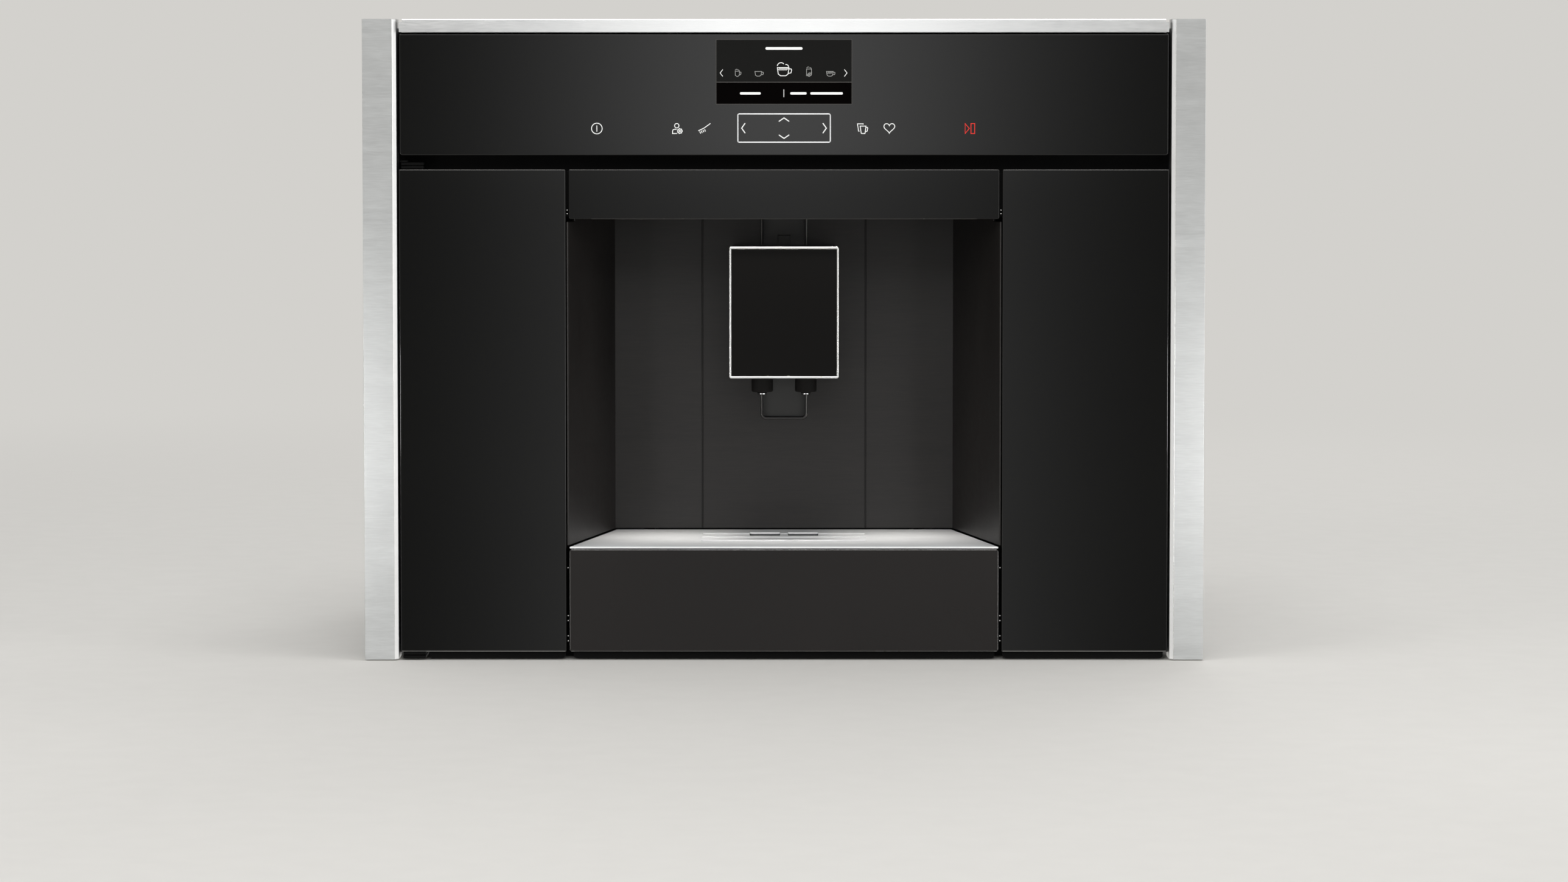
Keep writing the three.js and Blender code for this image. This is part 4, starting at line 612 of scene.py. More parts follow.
def glossy_panel(name, base, roughness, level=0.5):
    """Black glass: deep paint under a clear front, wiped in faint patches."""
    material, tree, surface, at = shader(name, Specular_IOR_Level=level, IOR=1.5)
    wiped = group_node(tree, "handling", Vector=at, Scale=5.0)["Mask"]
    vary_colour(tree, surface, wiped, colour(base), colour(base, 1.15))
    vary_roughness(tree, surface, wiped, roughness, roughness + 0.012)
    return material


def polished_metal(name, base, roughness=0.08):
    """Polished metal with the faint haze of a wiping cloth."""
    material, tree, surface, at = shader(name, Metallic=1.0)
    wiped = group_node(tree, "handling", Vector=at, Scale=30.0)["Mask"]
    vary_colour(tree, surface, wiped, colour(base), colour(base, 0.93))
    vary_roughness(tree, surface, wiped, roughness, roughness + 0.08)
    return material


def zinc_coated(name, base):
    """Zinc-coated sheet: a faint spangle of flat crystals, dull and a little dusty."""
    material, tree, surface, at = shader(name, Metallic=0.85)
    spangle = add_node(tree, "ShaderNodeTexVoronoi", {"Vector": at, "Scale": 260.0, "Randomness": 1.0})
    tone = add_node(tree, "ShaderNodeSeparateColor", {0: spangle.outputs["Color"]}).outputs[0]
    settled = group_node(tree, "dust", Vector=at, Amount=0.35)["Mask"]
    shade = mix_colour(tree, tone, colour(base, 0.95), colour(base, 1.03))
    vary_colour(tree, surface, settled, shade, (0.42, 0.41, 0.39, 1))
    vary_roughness(tree, surface, tone, 0.42, 0.47)
    bump(tree, surface, noise(tree, at, 500.0, 3.0), 0.4, 0.02)
    return material


def clear_plastic(name, base, weight):
    """Clear moulded plastic, with faint flow lines in its surface."""
    material, tree, surface, at = shader(name, Transmission_Weight=weight, IOR=1.49, Metallic=0.0)
    flow = noise(tree, at, 18.0, 2.0)
    vary_colour(tree, surface, flow, colour(base, 0.94), colour(base, 1.04))
    vary_roughness(tree, surface, flow, 0.08, 0.16)
    bump(tree, surface, flow, 0.25, 0.4)
    return material


def lit(name, base, strength, roughness=0.25, level=0.5):
    """A mark that glows at a set strength, faintly uneven: the light of the display and the lamp cover, and a
    painted glow where the mark is print.
    """
    material, tree, surface, at = shader(name, Roughness=roughness, Specular_IOR_Level=level,
                                         Emission_Strength=strength)
    uneven = noise(tree, at, 300.0, 2.0)
    shade = vary_colour(tree, surface, uneven, colour(base, 0.94), colour(base, 1.04))
    tree.links.new(shade, surface.inputs["Emission Color"])
    return material


def circuit(name, base):
    """Lacquered circuit board with darker copper tracks under the green."""
    material, tree, surface, at = shader(name, Metallic=0.0)
    tracks = add_node(tree, "ShaderNodeTexBrick", {
        "Vector": at, "Scale": 60.0, "Mortar Size": 0.03}).outputs["Fac"]
    fine = noise(tree, at, 220.0, 3.0)
    vary_colour(tree, surface, math_node(tree, "MULTIPLY", tracks, fine), colour(base), colour(base, 2.2))
    vary_roughness(tree, surface, fine, 0.30, 0.48)
    bump(tree, surface, tracks, 0.3, 0.04)
    return material


def make_materials():
    """All finishes, by the names of the record's slots and of this file's own details."""
    finish = bpy.context.scene.coffee_finish
    niche = {"contrast": 0.35, "along": 70.0, "across": 1100.0, "metallic": 0.25}
    # The niche's side walls take its steel 1.6 times lighter: painted light on walls of the same coated steel
    # as its back.
    painted_light_niche = [1.6 * part for part in finish.niche]
    MATERIALS.update({
        "brushed_steel": brushed_metal("brushed_steel_finish", finish.steel, 0.34),
        # A brighter copy of the trim steel for the band on the bevel: a painted highlight.
        "painted_highlight_steel": brushed_metal("bevel_finish", (0.95, 0.95, 0.95), 0.34, contrast=0.05, metallic=0.45),
        # A white, hardly metallic finish for the strips at the back of the drip plate's holes: a painted
        # highlight.
        "painted_highlight_rim": brushed_metal("bright_rim_finish", (0.97, 0.97, 0.97), 0.6, contrast=0.02,
                                    metallic=0.05),
        "strip_steel": brushed_metal("top_strip_finish", (0.93, 0.94, 0.94), 0.16, contrast=0.05,
                                     metallic=0.7),
        "plate_steel": brushed_metal("drip_plate_finish", (0.86, 0.87, 0.87), 0.48, contrast=0.05,
                                     metallic=0.25),
        "niche_steel": brushed_metal("niche_steel_finish", finish.niche, 0.42, **niche),
        "painted_light_wall_steel": brushed_metal("niche_wall_finish", painted_light_niche, 0.42, **niche),
        "cast_aluminium": brushed_metal("cast_aluminium_finish", (0.50, 0.51, 0.51), 0.48, contrast=0.2,
                                        along=900.0, across=900.0, depth=0.08),
        "chrome": polished_metal("chrome_finish", finish.chrome),
        # edge_line and dim_line are bright and dim beads of polished metal; along the edges of the glasses
        # and trims they are painted highlights.
        "edge_line": polished_metal("edge_line_finish", (0.80, 0.80, 0.79), 0.22),
        "dim_line": polished_metal("dim_line_finish", (0.16, 0.155, 0.15), 0.30),
        "screw_steel": polished_metal("screw_finish", (0.55, 0.56, 0.57), 0.28),
        "zinc_sheet": zinc_coated("zinc_sheet_finish", finish.zinc),
        "black_glass": glossy_panel("black_glass_finish", finish.glass, 0.06),
        "lintel_glass": glossy_panel("lintel_glass_finish", finish.glass, 0.08, level=0.30),
        "tray_glass": glossy_panel("tray_panel_finish", (0.0090, 0.0076, 0.0070), 0.26, level=0.30),
        "outlet_glass": glossy_panel("outlet_panel_finish", (0.0036, 0.0033, 0.0030), 0.30, level=0.10),
        "screen": glossy_panel("screen_finish", (0.003, 0.003, 0.003), 0.12),
        "black_plastic": moulded_plastic("black_plastic_finish", finish.plastic, 0.46),
        "matt_plastic": moulded_plastic("matt_plastic_finish", (0.0105, 0.0098, 0.0092), 0.65, level=0.12),
        "satin_plastic": moulded_plastic("satin_plastic_finish", finish.plastic, 0.34, grain=1600.0,
                                         depth=0.015, dust=0.05),
        "grey_plastic": moulded_plastic("grey_plastic_finish", (0.085, 0.088, 0.092), 0.50),
        # A near-black finish for parts in the gap under the door and the recess over it: painted shade,
        # whatever the colour of their slot.
        "painted_shade_black": moulded_plastic("black_zinc_finish", (0.0038, 0.0038, 0.0038), 0.5, grain=1500.0,
                                      depth=0.01, dust=0.0, level=0.04),
        "ceramic": moulded_plastic("ceramic_finish", (0.78, 0.76, 0.70), 0.30, grain=900.0, depth=0.01),
        "silicone_hose": moulded_plastic("silicone_hose_finish", (0.62, 0.62, 0.58), 0.34, grain=700.0),
        "clear_plastic": clear_plastic("clear_plastic_finish", (0.80, 0.86, 0.88), 0.92),
        "smoked_plastic": clear_plastic("smoked_plastic_finish", (0.16, 0.12, 0.10), 0.75),
        "circuit_board": circuit("circuit_board_finish", (0.012, 0.075, 0.032)),
        "lamp_cover": lit("lamp_cover_finish", (0.90, 0.87, 0.80), 0.15, 0.4),
        # Printed symbols and marks glow at a set strength: a painted glow.
        "symbol": lit("symbol_print", finish.symbol, 0.35),
        "red": lit("start_symbol_print", finish.red, 0.35),
        "picture": lit("picture_light", (0.66, 0.66, 0.65), 0.55),
        "picture_dim": lit("picture_faint_light", (0.30, 0.30, 0.29), 0.45),
        "picture_grey": lit("picture_ground", (0.0080, 0.0080, 0.0076), 0.3, 0.5, 0.04),
        "picture_black": lit("picture_dark", (0.0006, 0.0002, 0.0002), 0.1, 0.5, 0.02),
        "picture_line": lit("picture_edge", (0.055, 0.052, 0.048), 0.3),
    })


def dress_cad_nodes():
    """Every CAD node that is shown gets the finish of its slot."""
    for row in frame["record"]["subparts"]:
        node = frame["nodes"][row["node"]]
        material = MATERIALS[row["material_slot"]]
        if not node.data.materials:
            node.data.materials.append(material)
        for slot in node.material_slots:
            slot.material = material


# ---------------------------------------------------------------- stage
# The lamps round the machine: place and size in metres, and the setting that holds the power.
LAMPS = {
    "key_lamp": ((2.6, -1.5, 0.6), (1.4, 1.6), "key"),
    "fill_lamp": ((-2.3, -2.2, 1.4), (1.6, 1.4), "fill"),
    "front_lamp": ((0, -2.4, 1.35), (1.2, 0.8), "front"),
    "top_lamp": ((0, -0.6, 2.6), (1.6, 1.2), "top"),
    "back_lamp": ((0.8, 2.6, 1.9), (1.6, 1.2), "back"),
}
LAMP_TARGET = (0, 0, 0.22)
STRIP_PLACE = (0.72, -1.25, 0.11)  # the right strip lamp; the left one is its mirror image
STRIP_TARGET = (0.29, -0.19, 0.11)
STRIP_SIZE = (0.25, 0.1)
NARROW_SPREAD = 30  # degrees
NICHE_LAMP_SPAN = 1.45  # of the lamp cover's width
NICHE_LAMP_DEPTH = 0.008
NICHE_LAMP_DROP = 0.0012  # below the cover
NICHE_LAMP_AIM = 0.048  # its target on the shelf lies this far behind it
NICHE_LAMP_TINT = (1.0, 0.96, 0.92)

# A dark cloth behind the camera, which only reflections show, with a soft glow down its middle (metres).
CLOTH_DISTANCE = 0.55  # behind the camera
CLOTH_REACH = 0.62  # half width and half height up to where it fades
CLOTH_FADE = 0.16
CLOTH_CENTRE = 0.03  # height of its middle
CLOTH_SHADE = 0.025  # its strength away from the glow
GLOW_WIDE = (0.50, 0.33)  # strength and width
GLOW_NARROW = (0.83, 0.23)
GLOW_STEP = (0.26, 0.345)  # the narrow glow fades between these heights
GLOW_FLOOR = 0.45  # to this share below them

FLOOR_RINGS = (0.0, 0.6, 3.0, 24.0)  # radii in metres
FLOOR_LEVEL = -0.4  # millimetres
FLOOR_FADE = (0.65, 2.6)  # metres between which the floor takes the backdrop's own colour


def look_at(item, target):
    """Turns an object so that its -Z axis meets the target, with its Y axis up."""
    item.rotation_euler = (Vector(target) - item.location).to_track_quat("-Z", "Y").to_euler()


def area_lamp(name, place_at, target, size, strength, shade=(1, 1, 1), spread=180):
    """A flat rectangular lamp that aims at a target and shines within a spread in degrees."""
    data = bpy.data.lights.new(name, "AREA")
    data.shape = "RECTANGLE"
    data.size, data.size_y = size
    data.energy = strength
    data.color = shade
    data.spread = math.radians(spread)
    lamp = add_object(name, data)
    lamp.location = place_at
    look_at(lamp, target)


def make_lamps(stage):
    """The lamps round the machine, one under the niche's lamp cover, and a low one beside each trim."""
    for name, (place_at, size, setting) in LAMPS.items():
        area_lamp(name, place_at, LAMP_TARGET, size, getattr(stage, setting))
    x, y, z = spans("niche_light") * MM
    area_lamp("niche_lamp", (x.mean(), y.mean(), z[0] - NICHE_LAMP_DROP),
              (x.mean(), y.mean() + NICHE_LAMP_AIM, 0), ((x[1] - x[0]) * NICHE_LAMP_SPAN, NICHE_LAMP_DEPTH),
              stage.niche, NICHE_LAMP_TINT, NARROW_SPREAD)
    for name, side in (("left_strip_lamp", (-1, 1, 1)), ("right_strip_lamp", (1, 1, 1))):
        area_lamp(name, np.multiply(STRIP_PLACE, side), np.multiply(STRIP_TARGET, side), STRIP_SIZE,
                  stage.strip, spread=NARROW_SPREAD)


def make_camera(stage):
    """A long lens at the photograph's place, tilted to aim at the machine's middle. The aimed distance keeps
    the view's width there, and the shift brings the picture's middle down to the view's centre."""
    data = bpy.data.cameras.new("camera")
    data.sensor_width = 36
    data.lens = data.sensor_width * math.hypot(stage.distance, stage.height - stage.aim) / stage.view_width
    data.shift_y = (stage.view_centre - stage.aim) / stage.view_width
    camera = add_object("camera", data)
    camera.location = (0, TRIM_FRONT * MM - stage.distance, stage.height)
    look_at(camera, (0, TRIM_FRONT * MM, stage.aim))
    bpy.context.scene.camera = camera


def straight_rays(tree, *kinds):
    """1 for a ray of one of these kinds, else 0."""
    path = add_node(tree, "ShaderNodeLightPath").outputs
    seen = path[f"Is {kinds[0]} Ray"]
    for kind in kinds[1:]:
        seen = math_node(tree, "MAXIMUM", seen, path[f"Is {kind} Ray"])
    return seen


def make_world(stage):
    """The world: pale where a ray sees it directly or in a reflection, and an even light all round."""
    world = bpy.data.worlds.new("studio")
    bpy.context.scene.world = world
    world.use_nodes = True
    tree = world.node_tree
    background = tree.nodes["Background"]
    seen = straight_rays(tree, "Camera", "Transmission", "Glossy")
    strength = add_node(tree, "ShaderNodeMix", {0: seen, 2: stage.ambient, 3: 1.0})
    tree.links.new(mix_colour(tree, seen, (1, 1, 1, 1), colour(stage.pale)), background.inputs["Color"])
    tree.links.new(strength.outputs[0], background.inputs["Strength"])


def make_cloth(stage):
    """The cloth's glow is strength times exp(-(x / width)^2 / 2), and it fades out towards its edges."""
    outer = CLOTH_REACH + CLOTH_FADE
    levels = ((CLOTH_CENTRE - outer) / MM, (CLOTH_CENTRE + outer) / MM)
    outline = rounded_rect((-outer / MM, outer / MM), levels, 60)
    points = facing(outline, TRIM_FRONT - (stage.distance + CLOTH_DISTANCE) / MM)
    cloth = add_object("studio_cloth", build_mesh("studio_cloth", points, [list(range(len(points)))],
                                                  outward=(0, 1, 0)))
    material = bpy.data.materials.new("studio_cloth")
    material.use_nodes = True
    tree = material.node_tree
    at = add_node(tree, "ShaderNodeTexCoord").outputs["Object"]
    place_at = add_node(tree, "ShaderNodeSeparateXYZ", {0: at}).outputs

    def glow(strength, width):
        share = math_node(tree, "DIVIDE", place_at[0], width)
        falling = math_node(tree, "MULTIPLY", math_node(tree, "MULTIPLY", share, share), -0.5)
        return math_node(tree, "MULTIPLY", math_node(tree, "EXPONENT", falling), strength)

    def fade(value, centre):
        away = math_node(tree, "ABSOLUTE", math_node(tree, "SUBTRACT", value, centre))
        return map_range(tree, away, CLOTH_REACH, outer, 1.0, 0.0, interpolation_type="SMOOTHSTEP")

    level = map_range(tree, place_at[2], *GLOW_STEP, GLOW_FLOOR, 1.0, interpolation_type="SMOOTHSTEP")
    narrow = math_node(tree, "MULTIPLY", glow(*GLOW_NARROW), level)
    shine = math_node(tree, "ADD", math_node(tree, "ADD", glow(*GLOW_WIDE), narrow), CLOTH_SHADE)
    there = math_node(tree, "MULTIPLY", fade(place_at[0], 0.0), fade(place_at[2], CLOTH_CENTRE))
    mix_shader(tree, there, add_node(tree, "ShaderNodeBsdfTransparent"),
               add_node(tree, "ShaderNodeEmission", {1: shine}))
    cloth.data.materials.append(material)
    cloth.visible_camera = cloth.visible_diffuse = cloth.visible_shadow = False
    cloth.visible_transmission = cloth.visible_volume_scatter = False


def make_floor(stage):
    """A wide floor: plain and lit near the machine, and the backdrop's own colour further out."""
    circle = arc((0, 0), 1, 0, 360, 96)[:-1]
    rings = [facing(radius / MM * circle, FLOOR_LEVEL, "z") for radius in FLOOR_RINGS]
    floor = add_object("floor", build_mesh("floor", *loft(rings, caps=False), outward=(0, 0, 1)))
    material, tree, surface, at = shader("pale_floor", Roughness=0.9, Specular_IOR_Level=0.1)
    vary_colour(tree, surface, noise(tree, at, 40.0, 4.0), colour(stage.pale), colour(stage.pale, 1.06))
    away = add_node(tree, "ShaderNodeVectorMath", {0: at}, operation="LENGTH").outputs["Value"]
    share = map_range(tree, away, *FLOOR_FADE, interpolation_type="SMOOTHSTEP")
    seen = straight_rays(tree, "Camera", "Transmission")
    mix_shader(tree, math_node(tree, "MULTIPLY", seen, share), surface,
               add_node(tree, "ShaderNodeEmission", {0: colour(stage.pale), 1: 1.0}))
    floor.data.materials.append(material)
    floor.visible_glossy = False


def make_stage():
    """Camera, world, cloth, floor and lamps, with colours shown as they are."""
    bpy.context.scene.view_settings.view_transform = "Standard"
    stage = bpy.context.scene.coffee_stage
    for make in (make_camera, make_world, make_cloth, make_floor, make_lamps):
        make(stage)


# ---------------------------------------------------------------- fascia
TRIM_SHEET = 1.3
TRIM_FACE = 21.1  # width of the flat face
TRIM_FLANGE = 17.0  # rear flange that bears on the cabinet
LIP_DEPTH = 2.9  # depth of the bevel; the open door passes in front of its tip
LIP_GAP = 1.0  # the bevel's tip and the wall behind it stand this far out, clear of the door's edge
BAND = 0.12  # thickness of the band on the bevel, whose brighter finish is a painted highlight
TOP_SHEET = 1.4
TOP_NOTCH = 2.2
GLASS_CORNERS = (2.0, 0.4, 0.4, 2.0)
LINTEL_CORNERS = (1.3, 0.4, 0.4, 1.3)


def make_trims():
    """Folded steel trims: a section with a face, a bevel, walls and a rear flange is carried straight up.
    A tab closes each end. A band on the bevel has a brighter finish than the trim's steel, a painted
    highlight, and thin beads of bright metal along the face's edges are painted highlights of its folds."""
    (inner, outer), (front, back), (foot, top) = spans("trim_right")
    corner, wall, tip = outer - TRIM_FACE, inner + LIP_GAP, front + LIP_DEPTH
    line = fillet([(outer - TRIM_FLANGE, back), (outer, back), (outer, front), (corner, front), (wall, tip),
                   (wall, back)], 0.3)
    lining = np.array([
        (wall + TRIM_SHEET, back), (wall + TRIM_SHEET, tip + 0.6), (corner + 0.6, front + TRIM_SHEET),
        (outer - TRIM_SHEET, front + TRIM_SHEET), (outer - TRIM_SHEET, back - TRIM_SHEET),
        (outer - TRIM_FLANGE, back - TRIM_SHEET)])
    start, end = np.array((corner - 0.1, front + 0.2)), np.array((wall + 0.25, tip - 0.2))
    out = np.array((start[1] - end[1], end[0] - start[0]))
    out = BAND * out / np.hypot(*out)
    band = np.array([start, start + out, end + out, end])
    for name, side in (("trim_left", -1), ("trim_right", 1)):
        section, strip, tab = [shape if side > 0 else (shape * (-1, 1))[::-1]
                               for shape in (np.vstack((line, lining)), band, lining[::-1])]
        tabs = [prism(tab, level + 0.3, level + 0.3 + TRIM_SHEET) for level in (foot, top - 0.6 - TRIM_SHEET)]
        piece_of(name + "_folded", joined([prism(section, foot, top)] + tabs), "cabinet", "brushed_steel",
                 replaces=name)
        # The band's brighter finish is a painted highlight on the bevel.
        piece_of(name + "_bevel", prism(strip, foot + 0.3, top - 0.3), "cabinet", "brushed_steel",
                 "painted_highlight_steel")
        # Beads of bright metal along the face's folded edges: painted highlights.
        lines = [tube([(side * x, front + 0.3, foot + 0.4), (side * x, front + 0.3, top - 0.4)], 0.3)
                 for x in (outer - 0.45, corner)]
        piece_of(name + "_lines", joined(lines), "cabinet", "brushed_steel", "edge_line")


def make_top_strip():
    """The strip is folded like a lid along X; its top corners are notched beside the trims."""
    (left, right), (front, back), (foot, top) = spans("top_strip")
    line = fillet([(front, foot), (front, top), (back, top), (back, foot)], 0.8)
    outline = np.vstack((line, offset_line(line, -TOP_SHEET)[::-1]))
    rings = []
    for x, drop in ((left, TOP_NOTCH), (left + TOP_NOTCH, TOP_NOTCH), (left + TOP_NOTCH, 0),
                    (right - TOP_NOTCH, 0), (right - TOP_NOTCH, TOP_NOTCH), (right, TOP_NOTCH)):
        rings.append(facing(np.minimum(outline, (np.inf, top - drop)), x, "x"))
    piece_of("top_strip_folded", loft(rings), "cabinet", "brushed_steel", "strip_steel", "top_strip")


def panel(node, name, radii, edge, body, finish):
    """A black glass plate in place of a CAD node: its outline has rounded corners, and its front edge is a
    quarter round."""
    x, y, z = spans(node)
    piece_of(name, plate(x, z, radii, *y, edge), body, "black_glass", finish, node)


def polished_panel(node, radii, body, finish="black_glass"):
    """A panel with the edge radius of the settings."""
    panel(node, node + "_polished", radii, shape_settings().edge / MM, body, finish)


def make_control_glass():
    """The control glass is a flat plate whose lower corners are rounder than its upper ones."""
    polished_panel("control_glass", GLASS_CORNERS, "cabinet")


# ---------------------------------------------------------------- marks on the control panel
INK = 0.05  # how far marks stand in front of the glass
SKIN = 0.02  # and the display's fields
TOUCH_LEVEL = 377.7
TOUCH_STROKE = 0.55


def ink(lines, width, centre, closed=(), front=GLASS_FRONT):
    """Strokes drawn round a centre on the glass; closed numbers the lines that run back to their start."""
    return [stroke(np.add(line, centre), width, front - INK, front + INK / 2, number in closed)
            for number, line in enumerate(lines)]


def chevron(centre, width, height, way):
    """An open arrow of two strokes: way is left, right, up or down."""
    w, h = width / 2, height / 2
    lines = {"left": [(w, h), (-w, 0), (w, -h)], "right": [(-w, h), (w, 0), (-w, -h)],
             "up": [(-w, -h), (0, h), (w, -h)], "down": [(-w, h), (0, -h), (w, h)]}
    return np.add(lines[way], centre)


def heart(width, height):
    """A heart outline: x = 16 sin^3 t, z = 13 cos t - 5 cos 2t - 2 cos 3t - cos 4t, scaled."""
    t = np.linspace(math.pi * 1.06, -math.pi * 0.94, 44)
    x = 16 * np.sin(t) ** 3
    z = 13 * np.cos(t) - 5 * np.cos(2 * t) - 2 * np.cos(3 * t) - np.cos(4 * t)
    return np.column_stack((x * width / 32, (z + 2.5) * height / 29))


def gear(centre, radius, teeth=7):
    """A wheel outline: r = radius (1 + 0.13 tanh(2 cos(teeth t)))."""
    t = np.linspace(0, 2 * math.pi, teeth * 8, endpoint=False)
    r = radius * (1 + 0.13 * np.tanh(2 * np.cos(teeth * t)))
    return np.asarray(centre) + np.column_stack((r * np.cos(t), r * np.sin(t)))


def cup(centre, top, foot, height, handle=0.0):
    """A cup's outline: open top line, sides that taper to the foot with rounded corners, and a handle."""
    r, half = height * 0.22, height / 2
    lines = [np.add([(-top, half), (top, half), (foot + r * 0.3, -half + r), (foot - r, -half),
                     (-foot + r, -half), (-foot - r * 0.3, -half + r)], centre)]
    if handle:
        lines.append(np.add([
            (top - 0.1, height * 0.34), (top + handle * 0.8, height * 0.34), (top + handle, height * 0.2),
            (top + handle * 0.75, -height * 0.15), (foot + 0.25, -height * 0.2)], centre))
    return lines


def hatch(centre, half, low, high, count):
    """Slanted strokes between two levels."""
    lean = (high - low) * 0.9 / 2
    return [np.add([(x - lean, low), (x + lean, high)], centre) for x in np.linspace(-half, half, count)]


def foam(centre, half, height):
    """A cloud line of two arcs over a cup."""
    left = arc((-half * 0.35, 0), half * 0.62, 172, 40, 10)
    right = arc((half * 0.48, -height * 0.15), half * 0.42, 105, 5, 8)
    return [np.add(left, centre), np.add(right, centre)]


def make_touch_symbols():
    """Printed symbols of the touch fields: power, profile, cleaning, two cups, favourite, start and stop.
    Each is a place along X, its lines, and the numbers of the closed ones."""
    power_sign = [arc((0, 0), 3.76, 0, 352, 44), [(0, 2.2), (0, -2.2)]]
    person = [arc((-0.33, 1.98), 1.55, 0, 350, 24),
              [(-0.1, -3.56), (-3.3, -3.56), (-3.3, -1.7), (-2.9, -0.9), (-2.2, -0.55), (-1.2, -0.5),
               (-0.5, -0.75)],
              gear((1.85, -1.78), 1.55), arc((1.85, -1.78), 0.5, 0, 345, 14)]
    brush = [[(-4.3, -1.65), (0, 0.46), (4.3, 3.6)]]
    brush += [[(x, z), (x + 0.62, z - 1.5)]
              for x, z in ((-3.3, -2.05), (-2.15, -1.6), (-1.0, -1.05), (0.15, -0.6))]
    cups = [[(0.46, 2.8), (0.46, 3.3), (-3.56, 3.3), (-2.77, -1.85), (-2.1, -1.85)],
            [(-1.65, 1.7), (2.44, 1.7), (1.85, -3.3), (1.55, -3.56), (-0.6, -3.56), (-0.9, -3.3)],
            [(2.6, 0.8), (3.5, 0.75), (3.75, 0.3), (3.4, -1.7), (2.9, -2.05), (2.3, -2.05)]]
    marks = []
    for x, lines, closed in ((-132.35, power_sign, (0,)), (-75.5, person, (0, 2, 3)), (-56.3, brush, ()),
                             (55.5, cups, (1,)), (74.5, [heart(7.7, 6.9)], ())):
        marks += ink(lines, TOUCH_STROKE, (x, TOUCH_LEVEL), closed)
    arrows = [chevron((-28.7, 0), 2.5, 7.1, "left"), chevron((28.7, 0), 2.5, 7.1, "right"),
              chevron((0, 6.0), 7.3, 2.5, "up"), chevron((0, -6.0), 7.3, 2.5, "down")]
    marks += ink(arrows, 0.7, (0, spans("nav_frame")[2].mean()))
    piece_of("touch_symbols", joined(marks), "cabinet", "chrome", "symbol")
    start = ink([[(-3.4, 3.5), (-0.46, 0), (-3.4, -3.56)],
                 [(0.73, 3.5), (3.37, 3.5), (3.37, -3.56), (0.73, -3.56)]],
                TOUCH_STROKE, (131.5, TOUCH_LEVEL), (0, 1))
    piece_of("start_symbol", joined(start), "cabinet", "chrome", "red")


def make_navigation_frame():
    """The navigation field's frame: a small rounded section carried round a rectangle."""
    x, y, z = spans("nav_frame")
    piece_of("nav_frame_ring", ring_frame(x, z, 1.5, 0.9, y[0], y[1] + 0.1, 0.22), "cabinet", "chrome",
             replaces="nav_frame")


DISPLAY_SPLIT = 0.34  # the footer's share of the display's height
CUP_ROW = 23.6  # the row of pictures lies this far below the display's top


def make_display():
    """The lit display: a dark grey field over a black one, thin border lines, plain bars in place of
    words, and a row of cup pictures between two arrows."""
    x, _, (foot, top) = spans("display_module")
    face = GLASS_FRONT
    split = foot + (top - foot) * DISPLAY_SPLIT
    for name, z, finish in (("display_field", (split, top), "picture_grey"),
                            ("display_footer", (foot, split), "picture_black")):
        piece_of(name, plate(x, z, 0.02, face - SKIN, face + SKIN, 0.005), "cabinet", "screen", finish)
    border = [stroke([(x[0], split), (x[1], split)], 0.45, face - INK / 2, face),
              stroke(rounded_rect(x, (foot, top), 0.1, 1), 0.3, face - INK / 2, face, True)]
    piece_of("display_border", joined(border), "cabinet", "screen", "picture_line")
    marks, faint = [], []

    def draw(into, lines, width, closed=()):
        into.extend(ink(lines, width, (0, top - CUP_ROW), closed, face - SKIN))

    draw(marks, [chevron((-44.2, 0), 1.9, 4.9, "left"), chevron((43.6, 0), 1.9, 4.9, "right")], 0.42)
    for lines in (cup((-33.0, -0.6), 1.45, 1.15, 3.7, 1.2), cup((-18.2, -0.6), 2.4, 1.7, 3.3, 1.3),
                  cup((32.4, -0.6), 2.4, 1.7, 3.3, 1.3), cup((17.7, 0.2), 1.75, 1.45, 5.2)):
        draw(faint, lines, 0.32, (0,))
    draw(faint, hatch((32.4, -0.6), 1.4, 0.0, 1.5, 5) + hatch((17.7, 0.2), 0.95, -2.3, 0.2, 4), 0.22)
    draw(faint, foam((-33.0, 1.7), 1.5, 1.2) + foam((17.7, 3.2), 1.7, 1.2), 0.3)
    draw(marks, cup((-0.6, 0.9), 4.1, 3.1, 5.8, 1.9), 0.5, (0,))
    draw(marks, hatch((-0.6, 0.9), 3.0, 0.9, 2.9, 7), 0.36)
    draw(marks, foam((-0.6, 4.6), 4.3, 3.0), 0.5)
    bars = [((-13.1, 13.1), top - 6.3, 1.9), ((-31.2, -16.4), foot + 7.6, 1.7),
            ((4.4, 16.0), foot + 7.6, 1.7), ((18.6, 41.6), foot + 7.6, 1.7)]
    marks += [plate(u, (z - tall / 2, z + tall / 2), tall / 2 - 0.01, face - SKIN - INK, face, 0.01)
              for u, z, tall in bars]
    marks.append(stroke([(-0.1, foot + 5.0), (-0.1, foot + 10.4)], 0.4, face - SKIN - INK, face))
    piece_of("display_picture", joined(marks), "cabinet", "screen", "picture")
    piece_of("display_small_cups", joined(faint), "cabinet", "screen", "picture_dim")


# ---------------------------------------------------------------- door and lower panel
LINE_INSET = 0.3  # the bright beads, painted highlights of the panels' edges, lie this far inside a panel's outline
LINE_DEPTH = 0.42  # and behind its face


def edge_line(name, x, depth, level, finish):
    """A line along X on the door: a round bead of polished metal in the glass's rounded edge, a painted
    highlight of that edge.
    """
    line = np.linspace((x[0], depth, level), (x[1], depth, level), 6)
    piece_of(name, tube(line, shape_settings().bead / MM), "door", "chrome", finish)


